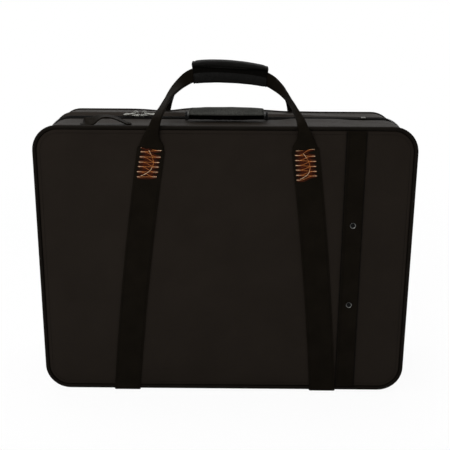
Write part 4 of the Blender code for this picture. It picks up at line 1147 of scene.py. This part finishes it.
def wrap_section():
    """The sleeve cut across: points of its middle line as (out, up), and how full it is at each."""
    half_y = 0.0004 + LOOP_THICK + WRAP_GAP + WRAP_THICK / 2
    half_z = HELD_HALF + WRAP_GAP + WRAP_THICK / 2
    lap = WRAP_THICK + 0.0004
    points = [Vector((a * half_y, b * half_z)) for a, b in WRAP_SHARES]
    points += [Vector((a * half_y - lap, b * half_z)) for a, b in WRAP_LAP_SHARES]
    run = smooth_run(points, 5)
    full = []
    for i in range(len(run)):
        from_flap = smooth_step((len(run) - 1 - i) / 5)
        full.append((0.30 + 0.70 * smooth_step((i - 4) / 3)) * (0.4 + 0.6 * from_flap))
    return run, full


def wrap_height(x, line):
    """How high the loops' line runs at that place along the wrap."""
    after = next(n for n, point in enumerate(line) if point.x > x)
    behind, ahead = line[after - 1], line[after]
    return behind.y + (ahead.y - behind.y) * (x - behind.x) / (ahead.x - behind.x)


def wrap_rings(run, full, stations):
    """The sleeve's skin at each station: along its inner face and back along the padded outer one. It
    thins at both ends and over the seam beside each, and its edges rise towards them."""
    line = [Vector(loop_place(share)) for share in loop_line()]
    rings = []
    for away in stations:
        x = WRAP_X - WRAP_LENGTH / 2 + away
        inside = min(away, WRAP_LENGTH - away)
        edge = 0.35 + 0.65 * math.sqrt(min(1, inside / 0.0012)) if inside < 0.0012 else 1.0
        edge *= 1 - 0.30 * math.exp(-((inside - 0.0031) / 0.0011) ** 2)
        height = wrap_height(x, line)
        along = (x - WRAP_X) / (WRAP_LENGTH / 2)
        over = 0.0022 + 0.0033 * along * along - 0.0008 * along
        under = -0.0020 + 0.0045 * along * along + 0.0005 * along
        ring = []
        for way in (1, -1):
            order = range(len(run)) if way > 0 else range(len(run) - 1, -1, -1)
            for i in order:
                ahead = (run[min(i + 1, len(run) - 1)] - run[max(i - 1, 0)]).normalized()
                side = Vector((-ahead.y, ahead.x))
                out = WRAP_THICK / 2 if way > 0 else WRAP_THICK * (0.5 - full[i] * edge)
                loose = 0.0003 * noise.noise(Vector((x * 60, i * 0.6, 3))) if way < 0 else 0
                spot = run[i] + side * (out + loose * min(1, inside / 0.004))
                up = 0.5 + 0.5 * spot.y / WRAP_HALF
                flap = clamped((i - len(run) + 10) / 9) * max(0, 1 - up) * 3
                raised = under + (over - under) * up + flap * (0.0046 * along * along + 0.0009 * along)
                spread = 0.0022 * abs(along) ** 8 * math.copysign(smooth_step((up - 0.45) / 0.4), along)
                ring.append(Vector((x + spread, spot.x, height + spot.y + raised)))
        rings.append(ring)
    return rings


run, full = wrap_section()
stations = list(WRAP_ENDS) + [WRAP_END + (WRAP_LENGTH - 2 * WRAP_END) * i / 22 for i in range(1, 22)]
stations += [WRAP_LENGTH - away for away in reversed(WRAP_ENDS)]
rings = wrap_rings(run, full, stations)
wrap = fit(lofted("grip_wrap", rings, 60), wrap_leather, "leatherette", "front_carry", "handle_wrap")
# The last points of each ring, the front just under the flap, take the painted shade.
wrap.data.materials.append(painted_shade_finish.material)
ring_size = 2 * len(run)
for face in wrap.data.polygons:
    spots = [v % ring_size for v in face.vertices]
    if len(spots) == 4 and min(spots) > ring_size - WRAP_SHADE_POINTS:
        face.material_index = 1

hem = [ring[len(run) - 4] + Vector((0, -0.0001, 0)) for ring, away in zip(rings, stations)
       if 0.0025 <= away <= WRAP_LENGTH - 0.0025]
stitches("wrap_stitching", [(hem, [Vector((0, -1, 0))] * len(hem))], black_thread, "front_carry",
         0.0026, 0.0010, 0.00035)


# Top handle: a low grip of leatherette over foam, that lies flat on the top and turns up. Its leatherette
# is a lighter grey than the wrap's, a painted sheen, and its underside is near-black, painted shade. Its
# steel core ends in pins that sit in two black moulded lugs.

GRIP_LENGTH, GRIP_WIDTH, GRIP_HEIGHT, GRIP_RISE = 0.114, 0.031, 0.0200, 0.0007
GRIP_SHARES = ((0, 0.55), (0.003, 0.68), (0.010, 0.78), (0.020, 0.82), (0.027, 0.80), (0.034, 0.84),
               (0.1, 0.89), (0.2, 0.93), (0.35, 0.975), (0.5, 1))
GRIP_SECTION = ((-1.0, -0.02), (-0.94, 0.18), (-0.62, 0.50), (-0.27, 0.82), (0.05, 0.97), (0.40, 1.0),
                (0.75, 0.80), (0.97, 0.35), (1.0, -0.15), (0.85, -0.65), (0.5, -0.90), (0.1, -0.95),
                (-0.3, -0.88), (-0.66, -0.60), (-0.92, -0.24), (-1.0, -0.02))
GRIP_SEAM_SHARES = (0.027, 0.973)
SHADE_BELOW = 0.0006

low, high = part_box("handle_grip")
centre = (low + high) / 2 + Vector((0, 0, GRIP_RISE))
section = smooth_run([Vector(spot) for spot in GRIP_SECTION], 4)[:-1]
table = list(GRIP_SHARES) + [(1 - share, size) for share, size in reversed(GRIP_SHARES[:-1])]


def grip_spot(share, size, spot):
    """A point of the grip's skin: that share along it, on its section at that size."""
    return centre + Vector((GRIP_LENGTH * (share - 0.5), GRIP_WIDTH / 2 * size * spot.x,
                            GRIP_HEIGHT / 2 * size * spot.y))


rings = []
for share in sorted({share for share, _ in table} | {i / 30 for i in range(2, 29)}):
    size = shares_at(table, share)
    ring = []
    for spot in section:
        give = 0.0005 * noise.noise(Vector((share * 9, spot.x * 1.5, spot.y * 1.5)))
        ring.append(grip_spot(share, size * (1 - give / 0.012), spot))
    rings.append(ring)
# The grip's face colour is lighter than the wrap's: painted sheen.
grip_leather_painted_sheen = leatherette("grip_leatherette_painted_sheen", 0.03, (0.051, 0.0515, 0.0460), (0.0070, 0.0070, 0.0062))
grip = fit(lofted("top_grip", rings, 50), grip_leather_painted_sheen, "leatherette", "top_handle", "handle_grip")
# The faces below the grip's middle take the painted shade.
grip.data.materials.append(painted_shade_finish.material)
for face in grip.data.polygons:
    if face.center.z < centre.z - SHADE_BELOW:
        face.material_index = 1
round_once = section + section[:1]
normals = [Vector((0, spot.x / GRIP_WIDTH, spot.y / GRIP_HEIGHT)).normalized() for spot in round_once]
rows = [([grip_spot(share, shares_at(table, share), spot) for spot in round_once], normals)
        for share in GRIP_SEAM_SHARES]
stitches("grip_stitching", rows, black_thread, "top_handle", 0.0022, 0.0009, 0.0003)

steel = Finish("brushed_steel", {"Metallic": 1.0})
place = steel.node("ShaderNodeTexCoord", out="Object")
drawn = steel.node("ShaderNodeMapping", {}, {"Vector": place, "Scale": (60.0, 2600.0, 2600.0)})
lines = steel.node("ShaderNodeTexNoise", {}, {"Vector": drawn, "Scale": 1.0, "Detail": 2.0})
steel.tone(lines, (0.06, 0.06, 0.06), (0.16, 0.16, 0.155), 0.28, 0.25)
steel.on(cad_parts["handle_core"])

moulded, pits = speckled("moulded_plastic", {"Specular IOR Level": 0.12}, (1400.0, 2.0),
                         (0.0035, 0.0035, 0.0035), (0.008, 0.008, 0.008), 0.38, 0.2)
moulded.bump(pits, 0.00006, 0.5)
for hand in ("left", "right"):
    moulded.on(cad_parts[f"handle_bracket_{hand}"])


# Hook loop: a short arch of the same webbing near the top's front edge, sewn down at both ends with
# crossed stitching, where a shoulder strap's hook goes through.

HOOK_LEFT_X, HOOK_LENGTH, HOOK_WIDTH = -0.210, 0.071, 0.020
HOOK_FRONT, HOOK_SKEW = 0.006, 0.018
HOOK_RISE, HOOK_EDGE = 0.0110, 0.0094
HOOK_SHARES = ((0, 0), (0.08, 0), (0.16, 0.12), (0.26, 0.55), (0.36, 0.9), (0.48, 1),
               (0.6, 0.93), (0.74, 0.6), (0.86, 0.22), (0.94, 0.01), (1, 0))
HOOK_TILTS = ((0, 0), (0.06, 0.05), (0.14, 0.45), (0.26, 0.55), (0.36, 0.3), (0.46, 0.05), (0.6, 0), (1, 0))


def bar(work, path, faces, width, depth, points=9):
    """A flat band with worn round edges along a path, each section facing its normal."""
    outline = [(-0.5, 0.0), (-0.494, 0.34), (-0.475, 0.5)]
    outline += [(-0.475 + 0.95 * i / (points - 1), 0.5) for i in range(1, points - 1)]
    outline += [(0.475, 0.5), (0.494, 0.34)]
    outline += [(-a, -b) for a, b in outline]
    rings = []
    for point, before, after, face in zip(path, path[:1] + path[:-1], path[1:] + path[-1:], faces):
        heading = (after - before).normalized()
        face = (face - heading * face.dot(heading)).normalized()
        side = heading.cross(face)
        rings.append([point + side * (a * width) + face * (b * depth) for a, b in outline])
    across = [a * width for a, _ in outline]
    skin(work, rings, across=[across + across[:1]] * len(rings))


low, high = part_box("hook_loop")
hook_y = (low.y + high.y) / 2 - HOOK_FRONT
foot_z = SHELL_TOP + 0.0012
path = smooth_run([Vector((HOOK_LEFT_X + HOOK_LENGTH * along, hook_y + HOOK_SKEW * along,
                           foot_z + HOOK_RISE * up)) for along, up in HOOK_SHARES], 4)
faces = []
for number, (before, after) in enumerate(zip(path[:1] + path[:-1], path[1:] + path[-1:])):
    ahead = (after - before).normalized()
    tilt = shares_at(HOOK_TILTS, (path[number].x - HOOK_LEFT_X) / HOOK_LENGTH)
    faces.append(Vector((-ahead.z, 0, ahead.x)) * math.cos(tilt) + Vector((0, -1, 0)) * math.sin(tilt))
    path[number].z = max(path[number].z, foot_z + HOOK_EDGE * math.sin(tilt) * ahead.x)
work = bmesh.new()
bar(work, path, faces, HOOK_WIDTH, WEB_THICK)
fit(sew_up(work, "strap_hook_loop", 60), webbing, "webbing", "base", "hook_loop")
rows = []
skew = HOOK_SKEW / HOOK_LENGTH
for start, end in ((0.0010, 0.0060), (HOOK_LENGTH - 0.0050, HOOK_LENGTH - 0.0010)):
    corners = ((start, -0.008), (end, -0.008), (end, 0.008), (start, 0.008), (start, -0.008), (end, 0.008))
    rows.append(([Vector((HOOK_LEFT_X + along - y * skew, hook_y + skew * start + y, foot_z + 0.0009))
                  for along, y in corners], [Vector((0, 0, 1))] * 6))
stitches("hook_stitching", rows, black_thread, "base", 0.0022, 0.0008, 0.0003)


# Sliders and pulls: cast zinc with a worn nickel finish. Each slider is a wedge that runs on the coils,
# with an arched crown on top that holds a flat pull tab with a window and a hole.

SLIDER_X = {"left": -0.1405, "right": -0.127}
SLIDER_FOOT_Z = 0.4213
CROWN_FOOT_Z = 0.4231
SLIDER_HALF = ((-0.00625, 0.0034), (-0.0045, 0.0040), (-0.0012, 0.0041), (0.0014, 0.00515),
               (0.0052, 0.00525), (0.00625, 0.0044))
FLANGE = ((0.0044, 0.41961), (0.0032, 0.41961), (0.0030, 0.4200), (0.0030, 0.4222), (0.0044, 0.4222))
FLANGE_LENGTH = 0.0058
CROWN_REACH, CROWN_RISE, CROWN_SINK = 0.0038, 0.0055, 0.0003
CROWN_WIDTH, CROWN_THICK = 0.0030, 0.0013
PULL_AXIS_Z = 0.4254
PULL_OUTLINE = ((-0.0008, -0.0026), (0.0022, -0.0034), (0.0120, -0.0037), (0.0180, -0.0035),
                (0.0199, -0.0022), (0.0200, 0.0022), (0.0180, 0.0035), (0.0120, 0.0037),
                (0.0022, 0.0034), (-0.0008, 0.0026))
PULL_HALF_THICK = 0.0008
PULL_DROOP = math.asin(0.0033 / 0.020)
WINDOW_X, WINDOW_LONG, WINDOW_HALF = 0.0009, 0.0083, 0.0021
WINDOW_SHARES = ((0, -0.8), (0.2, -1), (0.9, -1), (1, -0.5), (1, 0.5), (0.9, 1), (0.2, 1), (0, 0.8))
HOLE_X, HOLE_RADIUS = 0.0151, 0.0018
LOBE_X, LOBE_LONG, LOBE_HALF = 0.0098, 0.0104, 0.0042
LOBE_RISE, LOBE_HOLLOW = 0.0019, 0.0002

nickel = Finish("worn_nickel", {"Metallic": 1.0})
clouds = specks(nickel, 420.0, 3.0)
place = nickel.node("ShaderNodeTexCoord", out="Object")
scratch = nickel.node("ShaderNodeMapping", {}, {"Vector": place, "Scale": (300.0, 5200.0, 1800.0),
                                                "Rotation": (0.3, 0.5, 0.6)})
scratch = nickel.node("ShaderNodeTexNoise", {}, {"Vector": scratch, "Scale": 1.0, "Detail": 2.0})
nickel.feed("Base Color", nickel.colours(clouds, (0.07, 0.07, 0.062), (0.34, 0.34, 0.31)))
nickel.feed("Roughness", 0.20 + clouds * 0.16 + scratch * 0.14)
nickel.bump(scratch, 0.00003, 0.4)


def plate(work, outline, z0, z1, edge):
    """A flat plate from its outline in X and Y, with its edges rounded over."""
    middle = sum(outline, Vector((0, 0))) / len(outline)
    rings = []
    for z, inward in ((z0, edge), (z0 + edge * 0.4, edge * 0.3), (z0 + edge, 0), (z1 - edge, 0),
                      (z1 - edge * 0.4, edge * 0.3), (z1, edge)):
        rings.append([Vector((*(p - (p - middle).normalized() * inward), z)) for p in outline])
    skin(work, rings)


def cut(thing, cutter):
    """Takes the cutter's shape out of the thing and throws the cutter away."""
    taken = thing.modifiers.new("cut", "BOOLEAN")
    taken.operation = "DIFFERENCE"
    taken.solver = "EXACT"
    taken.object = cutter
    shown = bpy.context.evaluated_depsgraph_get()
    result = bpy.data.meshes.new_from_object(thing.evaluated_get(shown))
    thing.modifiers.clear()
    thing.data = result
    bpy.data.objects.remove(cutter)


def dense_outline(corners, step=0.0006, rounds=3):
    """The outline through the corners in short steps, with its corners worn round."""
    points = []
    for p, q in zip(corners, corners[1:] + corners[:1]):
        steps = max(1, round((q - p).length / step))
        points += [p.lerp(q, i / steps) for i in range(steps)]
    for _ in range(rounds):
        points = [(a + b * 2 + c) / 4
                  for a, b, c in zip(points[-1:] + points[:-1], points, points[1:] + points[:1])]
    return points


def slider(hand):
    """The wedge's top plate, its flange down beside the coils, and the crown that holds the pull."""
    out = -1 if hand == "left" else 1
    x = SLIDER_X[hand]
    corners = [Vector((x - out * a, SPLIT_Y - b)) for a, b in SLIDER_HALF]
    corners += [Vector((x - out * a, SPLIT_Y + b)) for a, b in reversed(SLIDER_HALF)]
    work = bmesh.new()
    plate(work, dense_outline(corners), SLIDER_FOOT_Z, CROWN_FOOT_Z, 0.0005)
    skin(work, [[Vector((end, y, z)) for y, z in FLANGE] for end in sorted((x, x - out * FLANGE_LENGTH))])
    arch = []
    for i in range(15):
        turn = math.pi * i / 14
        arch.append(Vector((x + CROWN_REACH * math.cos(turn), SPLIT_Y,
                            CROWN_FOOT_Z - CROWN_SINK + CROWN_RISE * math.sin(turn) ** 0.62)))
    faces = [(p - Vector((x, SPLIT_Y, CROWN_FOOT_Z))).normalized() for p in arch]
    bar(work, arch, faces, CROWN_WIDTH, CROWN_THICK, 5)
    fit(sew_up(work, f"zip_slider_{hand}", 40), nickel, "nickel", f"slider_{hand[0]}", f"slider_{hand}")


def pull(hand):
    """The tab is made flat along X from its pivot, cut through, and then laid at its droop."""
    out = -1 if hand == "left" else 1
    corners = [Vector(spot) for spot in PULL_OUTLINE]
    work = bmesh.new()
    plate(work, dense_outline(corners), -PULL_HALF_THICK, PULL_HALF_THICK, 0.00045)
    tab = sew_up(work, f"zip_pull_{hand}", 40)
    window = [Vector((WINDOW_X + WINDOW_LONG * a, WINDOW_HALF * b)) for a, b in WINDOW_SHARES]
    turns = [math.tau * i / 20 for i in range(20)]
    hole = [Vector((HOLE_X + HOLE_RADIUS * math.cos(turn), HOLE_RADIUS * math.sin(turn))) for turn in turns]
    for opening in (window, hole):
        outline = dense_outline(opening, 0.0005, 1)
        cut(tab, lofted("opening", [[Vector((*p, z)) for p in outline] for z in (-0.003, 0.003)], 35))
    pivot = Vector((SLIDER_X[hand], SPLIT_Y, PULL_AXIS_Z))
    along = Vector((out * math.cos(PULL_DROOP), 0, -math.sin(PULL_DROOP)))
    up = Vector((out * math.sin(PULL_DROOP), 0, math.cos(PULL_DROOP)))
    for vert in tab.data.vertices:
        reach, high = vert.co.x, vert.co.z
        lobe = math.sin(math.pi * clamped((reach - LOBE_X) / LOBE_LONG))
        lobe *= max(0, 1 - (vert.co.y / LOBE_HALF) ** 2)
        high += (LOBE_RISE if high > 0 else -LOBE_HOLLOW) * lobe
        vert.co = pivot + along * reach + Vector((0, vert.co.y * out, 0)) + up * high
    tab.data.update()
    fit(tab, nickel, "nickel", f"pull_{hand[0]}", f"pull_{hand}")


for hand in SLIDER_X:
    slider(hand)
    pull(hand)
dull, _ = speckled("dull_nickel", {"Metallic": 1.0}, (700.0, 3.0),
                   (0.03, 0.03, 0.027), (0.20, 0.20, 0.18), 0.22, 0.2)
dull.on(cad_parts["zipper_end_stop"])


# Pocket strip: narrower webbing over the pocket's mouth, with a dark cord along both edges that paints
# the shade beside them, sewn down along the left one. Two snaps close it, each a rim of darkened nickel
# round a dome whose middle is painted black: a painted dark reflection.

STRIP_WIDTH, STRIP_THICK = 0.028, 0.0014
STRIP_RIGHT = STRIP_LEFT + STRIP_WIDTH
STRIP_BACK_Y = -0.0935
STRIP_FOOT_Z, STRIP_LENGTH = 0.011, 0.402
SNAP_X = 0.190
SNAP_HEIGHTS = {"upper": 0.2735, "lower": 0.148}
CAP_PROFILE = ((0.0020, 0.0002), (0.0029, 0.0), (0.0030, -0.0002), (0.0030, -0.0015), (0.0043, -0.0015),
               (0.0046, -0.0017), (0.0046, -0.0021), (0.0043, -0.0026), (0.0040, -0.0027), (0.0036, -0.0025),
               (0.0033, -0.0024), (0.0030, -0.0028), (0.0025, -0.0034), (0.0017, -0.0038), (0.0008, -0.0040),
               (0.0002, -0.0040))
POST_PROFILE = ((0.0040, 0.0003), (0.0040, 0.0001), (0.0037, -0.0001), (0.0019, -0.0001),
                (0.0014, -0.0005), (0.0014, -0.0009), (0.00165, -0.0013), (0.0015, -0.0017),
                (0.0009, -0.0019), (0.0002, -0.0019))
DARK_PAINT_RADIUS, DARK_PAINT_FROM = 0.0034, 0.0018

path = [Vector((STRIP_LEFT + STRIP_WIDTH / 2, STRIP_BACK_Y - STRIP_THICK / 2,
                STRIP_FOOT_Z + STRIP_LENGTH * i / 60)) for i in range(61)]
work = bmesh.new()
bar(work, path, [Vector((0, -1, 0))] * len(path), STRIP_WIDTH, STRIP_THICK)
fit(sew_up(work, "mouth_strip", 60), webbing, "webbing", "strip", "pocket_strip")
face_y = STRIP_BACK_Y - STRIP_THICK
# Dark cords of black thread along both edges of the strip: painted shade beside the edges.
radii = [0.00072 + 0.00012 * math.sin(i * 1.3) for i in range(81)]
work = bmesh.new()
for x in (STRIP_LEFT - 0.0001, STRIP_RIGHT + 0.0001):
    edge = [Vector((x, face_y + 0.0006, 0.0112 + 0.4016 * i / 80)) for i in range(81)]
    strand(work, edge, radii, [Vector((0, -1, 0))] * 81, 8, 0.9)
fit(sew_up(work, "strip_edge_shade_cords", 70), black_thread, "webbing", "strip")
forward = [Vector((0, -1, 0))] * 2
rows = [([Vector((x, face_y, z)) for z in (0.014, 0.410)], forward)
        for x in (STRIP_LEFT + 0.0022, STRIP_LEFT + 0.0038)]
rows += [([Vector((x, face_y, z)) for x in (STRIP_LEFT + 0.004, STRIP_LEFT + 0.026)], forward)
         for z in (0.0145, 0.4095)]
stitches("strip_stitching", rows, black_thread, "strip")

# Snap caps: the rim's nickel is darkened and the dome's middle is painted near-black, a painted dark
# reflection.
snap_metal, _ = speckled("dark_nickel", {"Metallic": 1.0}, (700.0, 3.0),
                         (0.05, 0.05, 0.047), (0.19, 0.19, 0.18), 0.08, 0.10)
dark_reflection_paint, _ = speckled("painted_dark_reflection", {"Specular IOR Level": 0.04}, (900.0, 3.0),
                     (0.0012, 0.0012, 0.0012), (0.0040, 0.0040, 0.0038), 0.45, 0.2)


def turned_piece(name, centre, profile, upright=False):
    """A part turned on a lathe: the profile gives radius and place on the axis, Y or upright."""
    rings = []
    for radius, place in profile:
        ring = []
        for i in range(36):
            x, across = radius * math.cos(math.tau * i / 36), radius * math.sin(math.tau * i / 36)
            ring.append(centre + Vector((x, across, place) if upright else (x, place, across)))
        rings.append(ring)
    return lofted(name, rings, 35)


for place, z in SNAP_HEIGHTS.items():
    cap = turned_piece(f"snap_dome_{place}", Vector((SNAP_X, STRIP_BACK_Y, z)), CAP_PROFILE)
    fit(cap, snap_metal, "nickel", "strip", f"snap_cap_{place}")
    cap.data.materials.append(dark_reflection_paint.material)
    # Faces near the dome's middle take the painted dark reflection.
    for face in cap.data.polygons:
        out = math.hypot(face.center.x - SNAP_X, face.center.z - z)
        if out < DARK_PAINT_RADIUS and face.center.y < STRIP_BACK_Y - DARK_PAINT_FROM:
            face.material_index = 1
    post = turned_piece(f"snap_post_{place}", Vector((SNAP_X, -FACE_Y - 0.0003, z)), POST_PROFILE)
    fit(post, snap_metal, "nickel", "base", f"snap_stud_{place}")


# Underneath: a hinge of the same webbing sewn across the split, and four ribbed rubber feet, each
# held by a screw.

HINGE_FRONT_Y, HINGE_DEPTH, HINGE_WIDTH = -0.0149, 0.0458, 0.480
HINGE_Z, HINGE_THICK = 0.0051, 0.0011
HINGE_ROWS_Y = {"base": (-0.0128, -0.0105), "lid": (0.0285, 0.0262)}
FOOT_X, FOOT_Y = 0.230, 0.0635
FOOT_PROFILE = ((0.0012, 0.0022), (0.0034, 0.0022), (0.0036, 0.0004), (0.0042, 0.0), (0.0055, 0.0),
                (0.0058, 0.0006), (0.0064, 0.0006), (0.0067, 0.0001), (0.0076, 0.0001), (0.0086, 0.0006),
                (0.0090, 0.0016), (0.0089, 0.0040), (0.0090, 0.0057))

path = [Vector((0, HINGE_FRONT_Y + HINGE_DEPTH * i / 40, HINGE_Z)) for i in range(41)]
work = bmesh.new()
bar(work, path, [Vector((0, 0, -1))] * 41, HINGE_WIDTH, HINGE_THICK, 40)
hinge = fit(sew_up(work, "fabric_hinge", 60), webbing, "webbing", None, "hinge_tape_base", "hinge_tape_lid")
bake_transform(hinge)
for half, rows_y in HINGE_ROWS_Y.items():
    rows = [([Vector((x, y, 0.00455)) for x in (-0.236, 0.236)], [Vector((0, 0, -1))] * 2) for y in rows_y]
    stitches(f"hinge_stitching_{half}", rows, black_thread, half)

rubber, dust = speckled("black_rubber", {"Specular IOR Level": 0.35}, (500.0, 4.0),
                        (0.007, 0.007, 0.007), (0.022, 0.021, 0.020), 0.65, 0.2)
rubber.bump(dust, 0.0001, 0.5)
for row, y, body in (("front", -FOOT_Y, "base"), ("rear", FOOT_Y, "lid")):
    for hand, x in (("left", -FOOT_X), ("right", FOOT_X)):
        foot = turned_piece(f"rubber_foot_{row}_{hand}", Vector((x, y, 0)), FOOT_PROFILE, upright=True)
        fit(foot, rubber, "rubber", body, f"foot_{row}_{hand}")
